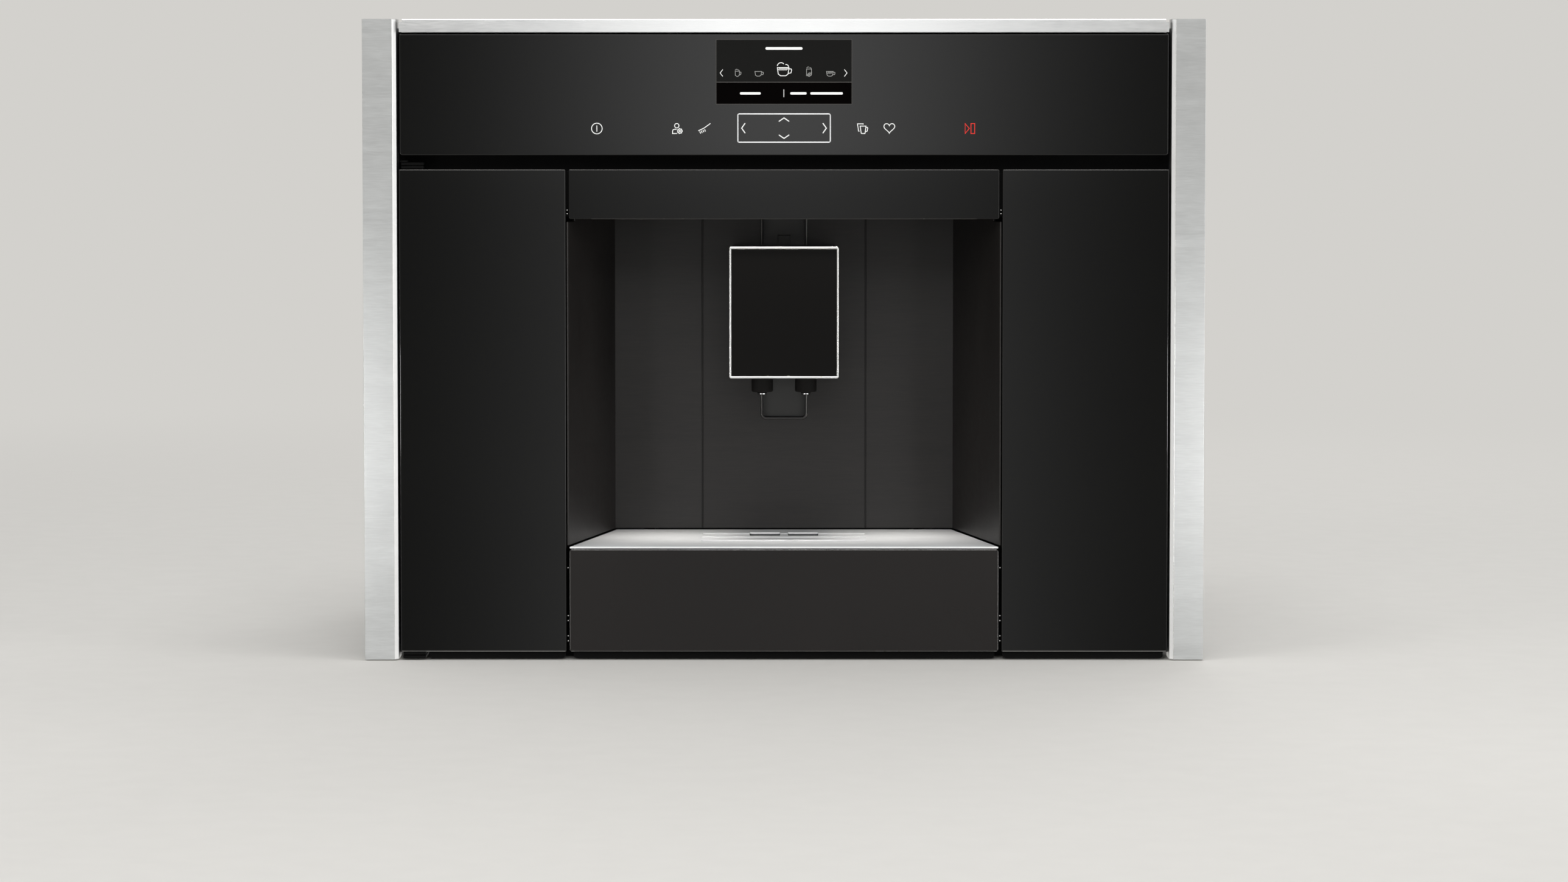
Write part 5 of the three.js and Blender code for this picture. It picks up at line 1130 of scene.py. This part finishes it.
def make_door_glasses():
    """The door's three glasses; each has a line along its top and one along its foot: painted highlights of
    the edges, dim at the tops, bright at the side glasses' feet and dim at the lintel's.
    """
    for node, piece, radii, finish, ends, foot_finish in (
            ("door_glass_left", "door_glass_left", 0.5, "black_glass", 0.8, "edge_line"),
            ("door_glass_right", "door_glass_right", 0.5, "black_glass", 0.8, "edge_line"),
            ("door_lintel", "lintel", LINTEL_CORNERS, "lintel_glass", 16, "dim_line")):
        polished_panel(node, radii, "door", finish)
        x, y, z = spans(node)
        edge_line(piece + "_top_line", shrunk(x, 0.8), y[0] + LINE_DEPTH, z[1] - LINE_INSET, "dim_line")
        edge_line(piece + "_foot_line", shrunk(x, ends), y[0] + LINE_DEPTH, z[0] + LINE_INSET, foot_finish)


def make_lower_panel():
    """The lower panel, with a bright bead all round: a painted highlight of its edge."""
    panel("tray_front_glass", "lower_panel", 1.2, shape_settings().edge / MM, "drip_tray", "tray_glass")
    x, y, z = spans("tray_front_glass")
    line = facing(rounded_rect(shrunk(x, 0.32), shrunk(z, 0.32), 1.1), y[0] + LINE_DEPTH)
    piece_of("lower_panel_line", closed_tube(line, shape_settings().bead / MM), "drip_tray", "chrome",
             "edge_line")


# ---------------------------------------------------------------- niche
CLIP_LEVELS = (65.7, 31.4, 27.9, 17.0, 13.5, 320.0, 317.5)  # beside the lower panel and the lintel


def make_niche():
    """The niche's walls, light and ceiling, and the line round the foot of the outlet's guide."""
    # The side walls' lighter finish is painted light.
    for side in ("left", "right"):
        softened("niche_wall_" + side, "niche_steel", 0.3, "painted_light_wall_steel")
    softened("niche_back", "niche_steel", 0.2)
    softened("outlet_guide", "black_plastic", 0.35, "satin_plastic")
    softened("niche_light", "lamp_cover", 1.2, segments=3)
    softened("niche_ceiling", "black_plastic", 0.2)
    x, y, z = spans("outlet_guide")
    (left, right), foot, top = shrunk(x, 0.3), z[0] + 0.3, z[1] - 1
    line = fillet([(left, top), (left, foot), (right, foot), (right, top)], 3.6, steps=8)
    piece_of("guide_line", tube(facing(line, y[0]), 0.28, 8), "cabinet", "black_plastic", "dim_line")


def make_seam_clips():
    """Small bright clips in the seams beside the lower panel and the lintel: turned pins with round heads."""
    x, y, _ = spans("door_glass_right")
    seam = (x[0] + spans("door_lintel")[0][1]) / 2
    profile = [(0.02, GLASS_FRONT + 0.25), (0.25, GLASS_FRONT + 0.32), (0.45, GLASS_FRONT + 0.55),
               (0.52, GLASS_FRONT + 0.9), (0.52, y[1]), (0.02, y[1])]
    clips = [lathe(profile, (side * seam, level), "y", 12) for side in (-1, 1) for level in CLIP_LEVELS]
    piece_of("seam_clips", joined(clips), "door", "chrome", "edge_line")


# ---------------------------------------------------------------- outlet
OUTLET_TRAVEL = (35.0, 45.0)  # the outlet's travel down and up
SLOT_BACK = (196.0, 304.0)  # heights of the slot in the guide, which the shutter behind it keeps covered
NOZZLE_TOP = 199.0
NOZZLE_RADIUS = 7.9


def make_outlet():
    """The outlet's framed front panel, its housing and nozzles, and the shutter over the guide's slot."""
    x, y, z = spans("outlet_frame")
    piece_of("outlet_ring", ring_frame(x, z, 1.4, 1.5, *y, 0.45), "outlet", "chrome", "edge_line",
             "outlet_frame")
    panel("outlet_front_plate", "outlet_panel", 0.3, 0.35, "outlet", "outlet_glass")
    softened("outlet_housing", "black_plastic", 1.0, "satin_plastic", segments=3)
    softened("outlet_carriage", "black_plastic", 0.4)
    for name in ("nozzle_left", "nozzle_right"):
        make_nozzle(name)
    behind = spans("outlet_guide")[1][1]
    slot = (SLOT_BACK[0] - OUTLET_TRAVEL[1], SLOT_BACK[1] + OUTLET_TRAVEL[0])
    piece_of("guide_shutter", plate((-11, 11), slot, 2, behind + 0.5, behind + 1.1, 0.2), "outlet",
             "black_plastic", "satin_plastic")


def make_nozzle(name):
    """A nozzle turned on its axis: a skirt with a soft lower edge, and a small tip with a bore."""
    x, y, (tip, _) = spans(name)
    centre = (x.mean(), y.mean())
    foot, soft = tip + 2.2, 1.4
    skirt = [(NOZZLE_RADIUS - soft + soft * math.cos(t), foot + soft - soft * math.sin(t))
             for t in np.linspace(0, math.pi / 2, 6)]
    profile = [(1.8, NOZZLE_TOP + 8), (5.9, NOZZLE_TOP + 8), (5.9, NOZZLE_TOP),
               (NOZZLE_RADIUS, NOZZLE_TOP - 0.1), *skirt, (4.6, foot), (4.4, foot + 0.5), (3.6, foot + 0.5),
               (3.4, tip + 0.4), (3.0, tip), (2.1, tip), (1.8, tip + 0.4), (1.8, NOZZLE_TOP + 8)]
    piece_of(name + "_turned", lathe(profile, centre), "outlet", "black_plastic", "matt_plastic", name)
    rim = [(2.9, tip + 0.35), (3.5, tip + 0.7), (3.5, tip + 1.1), (2.9, tip + 0.9), (2.9, tip + 0.35)]
    piece_of(name + "_rim", lathe(rim, centre), "outlet", "chrome")


# ---------------------------------------------------------------- drip tray
SLOT_HALF = 59.3
SLOT_LEVELS = (-146.3, -120.7, -95.1)  # middles of the slots, front to back
SLOT_WIDE = 8.0
DRAIN_HALF = (11.0, 12.65)
DRAIN_AT = ((-14.0, -96.0), (14.0, -96.0))
LIP_RISE = 0.25  # pressed rims round slots and drains stand up this far
LIP_REACH = (2.2, 1.8)  # and lie this far round them, along X and Y
LIP_SLOPE = 1.6
ROLL_DROP = 0.35  # the plate's edges roll down this far
ROLL_SLOPE = 1.2
CUT_TALL = 1.45  # height and depth of the white strips at the back of slots and drains, painted highlights of their cut edges
CUT_DEEP = 0.55


def make_drip_plate():
    """The drip plate: a pressed sheet whose slots and drains have raised rims, and whose edges roll down.
    Its sides taper with the niche: beyond the slots, x is drawn in by depth. White strips stand at the back
    of the slots and drains: a painted highlight of their cut edges."""
    x_span, y_span, (_, top) = spans("drip_plate")
    front, back = y_span
    corners = np.array([v.co for v in frame["nodes"]["drip_plate"].data.vertices]) / MM
    half_front, half_back = x_span[1], corners[corners[:, 1] > back - 0.01][:, 0].max()
    core = SLOT_HALF + 4
    slots = [(-SLOT_HALF, SLOT_HALF, y - SLOT_WIDE / 2, y + SLOT_WIDE / 2) for y in SLOT_LEVELS]
    drains = [grown((x, x, y, y), *DRAIN_HALF) for x, y in DRAIN_AT]
    holes = slots + drains
    u, v = grid_lines(x_span, edges_of(holes, 0), 1.0, 12), grid_lines(y_span, edges_of(holes, 1), 1.0, 6)

    def height(x, y):
        lips = np.max([swell(x, y, grown(hole, *LIP_REACH), LIP_SLOPE) for hole in holes], 0)
        border = 1 - swell(x, y, (*x_span, *y_span), ROLL_SLOPE)
        return top - LIP_RISE * (1 - lips) - ROLL_DROP * border ** 2

    def where(x, y, z):
        half = half_front + (half_back - half_front) * (y - front) / (back - front)
        outside = np.maximum(np.abs(x) - core, 0) / (half_front - core) * (half - core)
        return np.sign(x) * (np.minimum(np.abs(x), core) + outside), y, z

    thicken(piece_of("drip_plate_pressed", pressed_sheet(u, v, holes, height, where), "drip_tray",
                     "brushed_steel", "plate_steel", "drip_plate", outward=(0, 0, 1)))
    beside = max(abs(edge) for edge in edges_of(drains, 0))
    backs = slots[:2] + [(-SLOT_HALF, -beside, *slots[2][2:]), (beside, SLOT_HALF, *slots[2][2:])] + drains
    levels = (top - 0.1 - CUT_TALL, top - 0.1)
    # White strips at the back of the holes: painted highlights of their cut edges.
    highlight_strips = [plate(shrunk(hole, 0.3), levels, 0.3, hole[3] + 0.1 - CUT_DEEP, hole[3] + 0.1, 0.1)
            for hole in backs]
    piece_of("drip_plate_rims", joined(highlight_strips), "drip_tray", "brushed_steel", "painted_highlight_rim")


def make_tray():
    """The tray, its front frame and the grounds container; ribs stiffen the tray's floor."""
    for node, slot in (("tray_front_frame", "black_plastic"), ("drip_tray", "black_plastic"),
                       ("grounds_container", "grey_plastic")):
        softened(node, slot, 0.5)
    _, (front, _), (foot, _) = spans("drip_tray")
    back = spans("niche_back")[1][0]
    ribs = [plate((x - 0.9, x + 0.9), (foot + 1.5, foot + 7), 0.4, front + 6, back - 6, 0.4)
            for x in np.linspace(-100, 100, 9)]
    piece_of("tray_ribs", joined(ribs), "drip_tray", "black_plastic")
    _, (front, _), (_, top) = spans("grounds_container")
    grip = ring_frame((-24, 24), (front + 1, front + 13), 5, 2.4, top - 2.6, top - 0.4, 0.8, axis="z")
    piece_of("grounds_grip", grip, "drip_tray", "grey_plastic")


# ---------------------------------------------------------------- body
BEAD_DEPTH = 1.3  # stiffening beads are pressed in this far
BEAD_SLOPE = 5.0
DIMPLE = 9.0  # half size of the dimples that the screws sit in
DIMPLE_DEPTH = 1.25  # of a bead's depth
DIMPLE_SLOPE = 4.5
RIM_WIDE = 2.4  # width of the vents' rolled-in rims
RIM_DEPTH = 0.6  # of a bead's depth
RIM_SLOPE = 2.6
VENT_LENGTH = 60.0
VENT_WIDTH = 5.0
VENT_PITCH = 12.0
VENTS = 9
VENT_ROW = VENT_PITCH * (VENTS - 1)  # from the first vent to the last


def screw_head(centre, depth, axis="y", toward=-1, radius=3.2, rise=1.5):
    """A pan-head screw turned from its profile: a round recess, and a rim that falls as an ellipse. The
    profile's second number is a share of the head's rise, and toward says which way the head looks."""
    profile = [(0.02, 0.55), (radius * 0.28, 0.55), (radius * 0.34, 1)]
    profile += [(radius * (0.62 + 0.38 * math.sin(t)), 0.35 + 0.65 * math.cos(t))
                for t in np.linspace(0, math.pi / 2, 5)]
    profile += [(radius, 0), (0.02, 0)]
    return lathe([(r, depth + toward * rise * share) for r, share in profile], centre, axis, 20)


def vent_boxes(first, middle):
    """A row of equal slots that are upright in v, as (u0, u1, v0, v1) boxes."""
    return [grown((u, u, middle, middle), VENT_WIDTH / 2, VENT_LENGTH / 2)
            for u in first + VENT_PITCH * np.arange(VENTS)]


def with_dimples(lines, screws):
    """Adds grid lines over the screws' dimples, apart from those within half a millimetre of another line."""
    out = list(lines)
    for line in sorted(at + step for at in screws for step in np.linspace(-DIMPLE, DIMPLE, 11)):
        if lines[0] < line < lines[-1] and np.abs(np.array(out) - line).min() > 0.5:
            out.append(line)
    return np.array(sorted(out))


def body_panel(name, u, v, face, side, axis, vents, beads, screws):
    """A body panel whose face looks to one side along an axis: beads and screw dimples are pressed in from
    its face, and vents have rolled-in rims. height = bead depth times the largest swell of them."""
    lines = []
    for number, span in enumerate((u, v)):
        coarse = grid_lines(span, edges_of(beads, number) + list(span), 3.0, 24)
        fine = grid_lines(span, edges_of(vents, number), RIM_WIDE, 24, 5)
        lines.append(with_dimples(np.union1d(coarse, fine), [screw[number] for screw in screws]))

    def height(a, b):
        pressed = [swell(a, b, box, BEAD_SLOPE) for box in beads]
        pressed += [RIM_DEPTH * swell(a, b, grown(box, RIM_WIDE, RIM_WIDE), RIM_SLOPE) for box in vents]
        for mid_a, mid_b in screws:
            s = np.clip((DIMPLE - np.hypot(a - mid_a, b - mid_b)) / DIMPLE_SLOPE, 0, 1)
            pressed.append(DIMPLE_DEPTH * s * s * (3 - 2 * s))
        return face - side * BEAD_DEPTH * np.max(pressed, 0)

    def where(a, b, h):
        return {"x": (h, a, b), "y": (a, h, b), "z": (a, b, h)}[axis]

    outward = side * np.eye(3)["xyz".index(axis)]
    thicken(piece_of(name + "_pressed", pressed_sheet(*lines, vents, height, where), "cabinet", "zinc_sheet",
                     replaces=name, outward=outward))
    floor = face - side * BEAD_DEPTH * DIMPLE_DEPTH
    piece_of(name + "_screws", joined([screw_head(screw, floor, axis, side) for screw in screws]), "cabinet",
             "brushed_steel", "screw_steel")


def make_body_shell():
    """The pressed panels round the body, its plain base, frame and cradle, and the hinges."""
    (_, right), y, z = spans("side_panel_right")
    for name, side in (("side_panel_left", -1), ("side_panel_right", 1)):
        vents = vent_boxes(y[1] + 1.4 - VENT_PITCH * (VENTS + 2), z[1] - VENT_LENGTH)
        beads = [(*shrunk(y, 40), level, level + 26) for level in (70, 300)]
        screws = [(a, b) for a in (y[0] + 16, (y[0] + y[1]) / 2, y[1] - 16) for b in shrunk(z, 15)]
        body_panel(name, y, z, side * right, side, "x", vents, beads, screws)
    x, y, z = spans("rear_panel")
    inlet_x, _, inlet_z = spans("mains_inlet")
    vents = [box for middle in (-139.5, 139.5)
             for box in vent_boxes(middle - VENT_ROW / 2, z[1] - VENT_LENGTH)]
    vents.append(grown((*inlet_x, *inlet_z), 0.2, 0.2))
    beads = [(middle - 13, middle + 13, 120, 300) for middle in (-200, -100, 100, 200)]
    beads.append((-60, 60, 330, 420))
    screws = [(a, b) for a in (x[0] + 14, -93, 93, x[1] - 14) for b in shrunk(z, 14)]
    body_panel("rear_panel", x, z, y[1], 1, "y", vents, beads, screws)
    x, y, z = spans("top_cover")
    vents = vent_boxes(-VENT_ROW / 2, y[1] - VENT_LENGTH)
    beads = [(middle - 16, middle + 16, *shrunk(y, 60)) for middle in (-200, -120, 120, 200)]
    screws = [(a, b) for a in shrunk(x, 14) for b in (y[0] + 20, (y[0] + y[1]) / 2, y[1] - 20)]
    body_panel("top_cover", x, y, z[1], 1, "z", vents, beads, screws)
    # The base, the front frame and the hinges take the near-black finish: painted shade in the gap under the
    # door and the recess over it.
    softened("base_plate", "zinc_sheet", 0.4, "painted_shade_black")
    softened("front_frame", "black_plastic", 0.4, "painted_shade_black")
    for part, slot, width, angle in (("bracket", "zinc_sheet", 0.3, 30), ("pin", "brushed_steel", 0.25, 50)):
        for end in ("top", "bottom"):
            softened(f"hinge_{part}_{end}", slot, width, "painted_shade_black", angle=angle)
    softened("tray_cradle", "zinc_sheet", 0.4)
    softened("mains_inlet", "black_plastic", 0.4)


# ---------------------------------------------------------------- door's inside
PAINTED_SHADE_LIP_LEVELS = (0.5, 7.2)  # heights of the near-black lips in the gap under the door and the tray: painted shade


def make_door_inside():
    """The door's frame and inner panel, with upright ribs and screws on both legs, and its magnet."""
    # The door's frame takes the near-black finish too: painted shade in the recess over the door.
    softened("door_frame", "black_plastic", 0.5, "painted_shade_black")
    softened("door_inner_panel", "grey_plastic", 0.5)
    (left, right), (_, back), z = spans("door_inner_panel")
    seam = spans("door_lintel")[0][1] + 4
    ribs, heads = [], []
    for leg in ((left, -seam), (seam, right)):
        ribs += [plate((x - 3, x + 3), shrunk(z, 24), 2.9, back + 0.45, back - 0.3, 0.4)
                 for x in np.linspace(*shrunk(leg, 22), 4)]
        heads += [screw_head((x, level), back - 0.4, "y", 1, 2.6, 0.9)
                  for x in shrunk(leg, 9) for level in (z[0] + 10, (z[0] + z[1]) / 2, z[1] - 10)]
    piece_of("door_ribs", joined(ribs), "door", "grey_plastic")
    piece_of("door_screws", joined(heads), "door", "brushed_steel", "screw_steel")
    softened("door_magnet", "grey_plastic", 0.5)


def make_painted_shade_lips():
    """Near-black lips with round lower edges, behind the glasses, that fill the gap with painted shade: two
    under the door, one under the tray.
    """
    front, back = spans("tray_front_frame")[1]
    lintel = spans("door_lintel")[0][1]
    hinge = spans("hinge_bracket_bottom")[0][1]
    for name, body, u in (("toe_seal_left", "door", (hinge + 2, -lintel - 3.5)),
                          ("toe_seal_right", "door", (lintel + 3.5, spans("door_frame")[0][1] - 1)),
                          ("toe_seal_tray", "drip_tray", (-lintel + 2.5, lintel - 2.5))):
        piece_of(name, plate(u, PAINTED_SHADE_LIP_LEVELS, (2.4, 0.3, 0.3, 2.4), front + 0.3, back, 0.3), body, "black_plastic",
                 "painted_shade_black")


# ---------------------------------------------------------------- behind the door
TANK_LEVELS = (60, 170)  # heights of the lowest and the highest mark
MARK_LENGTH = 5


def make_tank():
    """The water tank with level marks, and its hinged lid with a ribbed grip."""
    softened("water_tank", "clear_plastic", 0.6, segments=3)
    (_, right), (front, _), _ = spans("water_tank")
    marks = [plate((right - 12 - MARK_LENGTH, right - 12), (level - 0.4, level + 0.4), 0.3, front - 0.1,
                   front + 0.3, 0.08) for level in np.linspace(*TANK_LEVELS, 6)]
    piece_of("tank_marks", joined(marks), "cabinet", "black_plastic", "satin_plastic")
    softened("tank_lid", "black_plastic", 0.6, segments=3)
    x, (front, _), (foot, _) = spans("tank_lid")
    grip = [plate((x.mean() - 22, x.mean() + 22), (front + y, front + y + 1.4), 0.6, foot + 3.6, foot + 2.6,
                  0.3, "z") for y in (8, 12, 16)]
    piece_of("tank_lid_grip", joined(grip), "tank_lid", "black_plastic")


def make_coffee_bay():
    """Bean container, powder drawer, grinder and brew unit, with the grips that a hand finds on them."""
    softened("bean_container", "smoked_plastic", 0.5, segments=3)
    softened("bean_lid", "black_plastic", 0.5, segments=3)
    softened("powder_drawer", "black_plastic", 0.7, segments=3)
    x, (front, _), (_, top) = spans("powder_drawer")
    lip = plate(shrunk(x, 8), (top - 8, top - 5), 1.4, front - 1.6, front + 1, 0.8)
    piece_of("drawer_lip", lip, "cabinet", "black_plastic")
    softened("brew_cover", "black_plastic", 0.6, segments=3)
    x, (front, _), (foot, top) = spans("brew_cover")
    ribs = [plate((rib - 1.2, rib + 1.2), (foot + 14, top - 48), 1.1, front - 0.6, front + 0.4, 0.4)
            for rib in np.linspace(*shrunk(x, 14), 8)]
    piece_of("brew_cover_ribs", joined(ribs), "cabinet", "black_plastic")
    softened("brew_unit", "grey_plastic", 0.8)
    softened("grinder_housing", "grey_plastic", 0.6, angle=50)
    softened("grinder_motor", "zinc_sheet", 0.5, angle=50)


BURR_TALL = 26
BURR_TEETH = 18
DIAL_FLUTES = 24
# The dial's face and rim: share of the radius, distance behind its front, and depth of the flutes.
DIAL_PROFILE = ((0.0, 4.2, 0), (0.80, 4.2, 0), (0.84, 4.0, 0), (0.9, 4.0, 0), (0.97, 4.3, 0.3),
                (1.0, 5.0, 0.5), (1.0, 9.5, 0.5), (0.97, 10, 0.3), (0.0, 10, 0))


def make_grinder_burr():
    """The burr's cone with slanted teeth: radius = cone - depth (1 + cos(18 t + 5 level)) / 2, so that the
    teeth turn with the height."""
    x, y, (foot, top) = spans("grinder_burr")
    centre = (x.mean(), y.mean())
    start = top - BURR_TALL
    level = np.linspace(0, 1, 18)[:, None]
    turn = np.linspace(0, 2 * math.pi, 144, endpoint=False)[None, :]
    depth = 0.9 * np.minimum(1, 6 * level * (1 - level) + 0.3)
    r = (x[1] - x[0]) / 2 * (1 - 0.4 * level) - depth * (1 + np.cos(BURR_TEETH * turn + 5 * level)) / 2
    rings = np.stack([centre[0] + r * np.cos(turn), centre[1] + r * np.sin(turn),
                      start + BURR_TALL * level + 0 * turn], -1)
    shaft = lathe([(0.02, foot), (3.5, foot), (4, foot + 0.5), (4, start + 1), (0.02, start + 1)], centre)
    piece_of("grinder_burr_toothed", joined([loft(rings), shaft]), "grinder_burr", "ceramic",
             replaces="grinder_burr", smooth_angle=50)


def make_grind_dial():
    """The fineness dial: a knob with flutes, radius = r - depth (1 + cos 24 t) / 2, a grip bar and a
    pointer."""
    x, (front, back), z = spans("grind_dial")
    middle_x, middle_z, r = x.mean(), z.mean(), (x[1] - x[0]) / 2
    turn = np.linspace(0, 2 * math.pi, 144, endpoint=False)
    rings = []
    for share, behind, flute in DIAL_PROFILE:
        radius = max(r * share, 0.02) - flute * (1 + np.cos(DIAL_FLUTES * turn)) / 2
        rings.append(np.column_stack((middle_x + radius * np.cos(turn), 0 * turn + front + behind,
                                      middle_z + radius * np.sin(turn))))
    bar = plate((middle_x - 1.9, middle_x + 1.9), (middle_z - r + 2.2, middle_z + r - 2.2), 1.8, front + 0.1,
                front + 6, 0.7)
    shaft = lathe([(3, front + 9), (3, back - 0.6), (2.4, back), (0.02, back)], (middle_x, middle_z), "y", 24)
    piece_of("grind_dial_fluted", joined([loft(rings, caps=False), bar, shaft]), "grind_dial", "grey_plastic",
             replaces="grind_dial")
    pointer = plate((middle_x - 0.45, middle_x + 0.45), (middle_z + 3, middle_z + r - 3.2), 0.4, front + 0.04,
                    front + 0.4, 0.05)
    piece_of("grind_dial_pointer", pointer, "grind_dial", "grey_plastic", "symbol")


def make_grind_scale():
    """Graduation marks round the dial, which grow with the fineness."""
    x, _, z = spans("grind_dial")
    marks = []
    for number, angle in enumerate(np.radians(np.linspace(165, 15, 7))):
        ray = np.outer((14.6, 16.4 + 0.35 * number), (math.cos(angle), math.sin(angle)))
        marks.append(stroke((x.mean(), z.mean()) + ray, 0.6, BODY_FRONT - 0.08, BODY_FRONT + 0.1))
    piece_of("grind_scale", joined(marks), "cabinet", "black_plastic", "symbol")


ROCKER_LEVEL = (39.76, 52.74, 66.04)  # heights of the rocker's foot, fold and head at rest
ROCKER_DEPTH = (-163.48, -160.53, -160.72)  # and how far back its face lies there
ROCKER_BAR = (56.6, 62.2)  # heights of the bar's ends
ROCKER_RING = (46.4, 2.8)  # height of the ring's middle, and its radius


def make_rocker():
    """The mains rocker, with a bar on its upper half and a ring on its lower one, which lie on its face."""
    softened("mains_switch", "black_plastic", 0.8, "satin_plastic", segments=3, angle=20)
    middle = spans("mains_switch")[0].mean()
    bar = np.column_stack(((middle, middle), ROCKER_BAR))
    ring = arc((middle, ROCKER_RING[0]), ROCKER_RING[1], 0, 360, 32)
    marks = []
    for x, z in (bar.T, ring.T):
        marks.append(tube(np.column_stack((x, np.interp(z, ROCKER_LEVEL, ROCKER_DEPTH), z)), 0.36))
    piece_of("rocker_marks", joined(marks), "mains_switch", "black_plastic", "symbol")


def make_machinery():
    """What works unseen inside: pump, heater and boards."""
    softened("pump", "grey_plastic", 0.6, angle=50)
    softened("thermoblock", "cast_aluminium", 0.6)
    softened("control_board", "circuit_board", 0.15)
    softened("power_board", "circuit_board", 0.3)
    softened("control_carrier", "black_plastic", 0.4)
    softened("display_module", "screen", 0.4, "satin_plastic")


# ---------------------------------------------------------------- last touches
def even_normals():
    """Weights each piece's normals by face area, so that flat faces shade flat beside their round edges."""
    for piece in bpy.context.scene.objects:
        if piece.type == "MESH" and piece.name not in frame["nodes"]:
            piece.modifiers.new("Normals", "WEIGHTED_NORMAL").keep_sharp = True


# ---------------------------------------------------------------- operators
def make_operator(identifier, label, description, work):
    """An operator class that runs one builder."""
    def execute(self, context):
        work()
        return {"FINISHED"}
    return type(f"COFFEE_OT_{identifier}", (bpy.types.Operator,), {
        "__doc__": description, "bl_idname": f"coffee.{identifier}", "bl_label": label, "execute": execute})


OPERATORS = [make_operator(*row) for row in (
    ("stage", "Stage", "Makes the camera, lamps, world and floor", make_stage),
    ("finishes", "Finishes", "Makes all materials", make_materials),
    ("dress", "Dress nodes", "Gives each CAD node its finish", dress_cad_nodes),
    ("trims", "Trims", "Folds the two side trims", make_trims),
    ("top_strip", "Top strip", "Folds the top strip", make_top_strip),
    ("control_glass", "Control glass", "Polishes the control glass", make_control_glass),
    ("touch_symbols", "Touch symbols", "Prints the touch symbols", make_touch_symbols),
    ("navigation_frame", "Navigation frame", "Makes the chrome frame", make_navigation_frame),
    ("display", "Display", "Lights the display's picture", make_display),
    ("door_glasses", "Door glasses", "Polishes the door's glasses", make_door_glasses),
    ("lower_panel", "Lower panel", "Makes the tray's front panel", make_lower_panel),
    ("niche", "Niche", "Lines the cup niche", make_niche),
    ("seam_clips", "Seam clips", "Sets the clips in the seams", make_seam_clips),
    ("outlet", "Outlet", "Makes the outlet block and nozzles", make_outlet),
    ("drip_plate", "Drip plate", "Presses the drip plate", make_drip_plate),
    ("tray", "Drip tray", "Makes the tray and the grounds container", make_tray),
    ("body_shell", "Body shell", "Presses the body panels", make_body_shell),
    ("door_inside", "Door inside", "Makes the door's inner side", make_door_inside),
    ("toe_seals", "Toe seals", "Makes the lips under the door and tray", make_painted_shade_lips),
    ("tank", "Water tank", "Makes the water tank and its lid", make_tank),
    ("coffee_bay", "Coffee bay", "Makes what stands in the right bay", make_coffee_bay),
    ("grinder_burr", "Grinder burr", "Cuts the burr's teeth", make_grinder_burr),
    ("grind_dial", "Fineness dial", "Makes the fineness dial", make_grind_dial),
    ("grind_scale", "Fineness scale", "Marks the dial's scale", make_grind_scale),
    ("rocker", "Mains rocker", "Makes the mains rocker", make_rocker),
    ("machinery", "Machinery", "Finishes the inner machinery", make_machinery),
    ("normals", "Even normals", "Makes flat faces shade flat", even_normals),
)]


class COFFEE_PT_panel(bpy.types.Panel):
    """Lists the builders of the coffee machine."""
    bl_idname = "COFFEE_PT_panel"
    bl_label = "Coffee machine"
    bl_space_type = "VIEW_3D"
    bl_region_type = "UI"
    bl_category = "Coffee machine"

    def draw(self, context):
        for operator in OPERATORS:
            self.layout.operator(operator.bl_idname)


CLASSES = [StageSettings, FinishSettings, ShapeSettings, *OPERATORS, COFFEE_PT_panel]


def register():
    for cls in CLASSES:
        bpy.utils.register_class(cls)
    bpy.types.Scene.coffee_stage = PointerProperty(type=StageSettings)
    bpy.types.Scene.coffee_finish = PointerProperty(type=FinishSettings)
    bpy.types.Scene.coffee_shape = PointerProperty(type=ShapeSettings)


def unregister():
    del bpy.types.Scene.coffee_shape
    del bpy.types.Scene.coffee_finish
    del bpy.types.Scene.coffee_stage
    for cls in reversed(CLASSES):
        bpy.utils.unregister_class(cls)


def main():
    register()
    for operator in OPERATORS:
        group, name = operator.bl_idname.split(".")
        getattr(getattr(bpy.ops, group), name)()


if __name__ == "__main__":
    main()
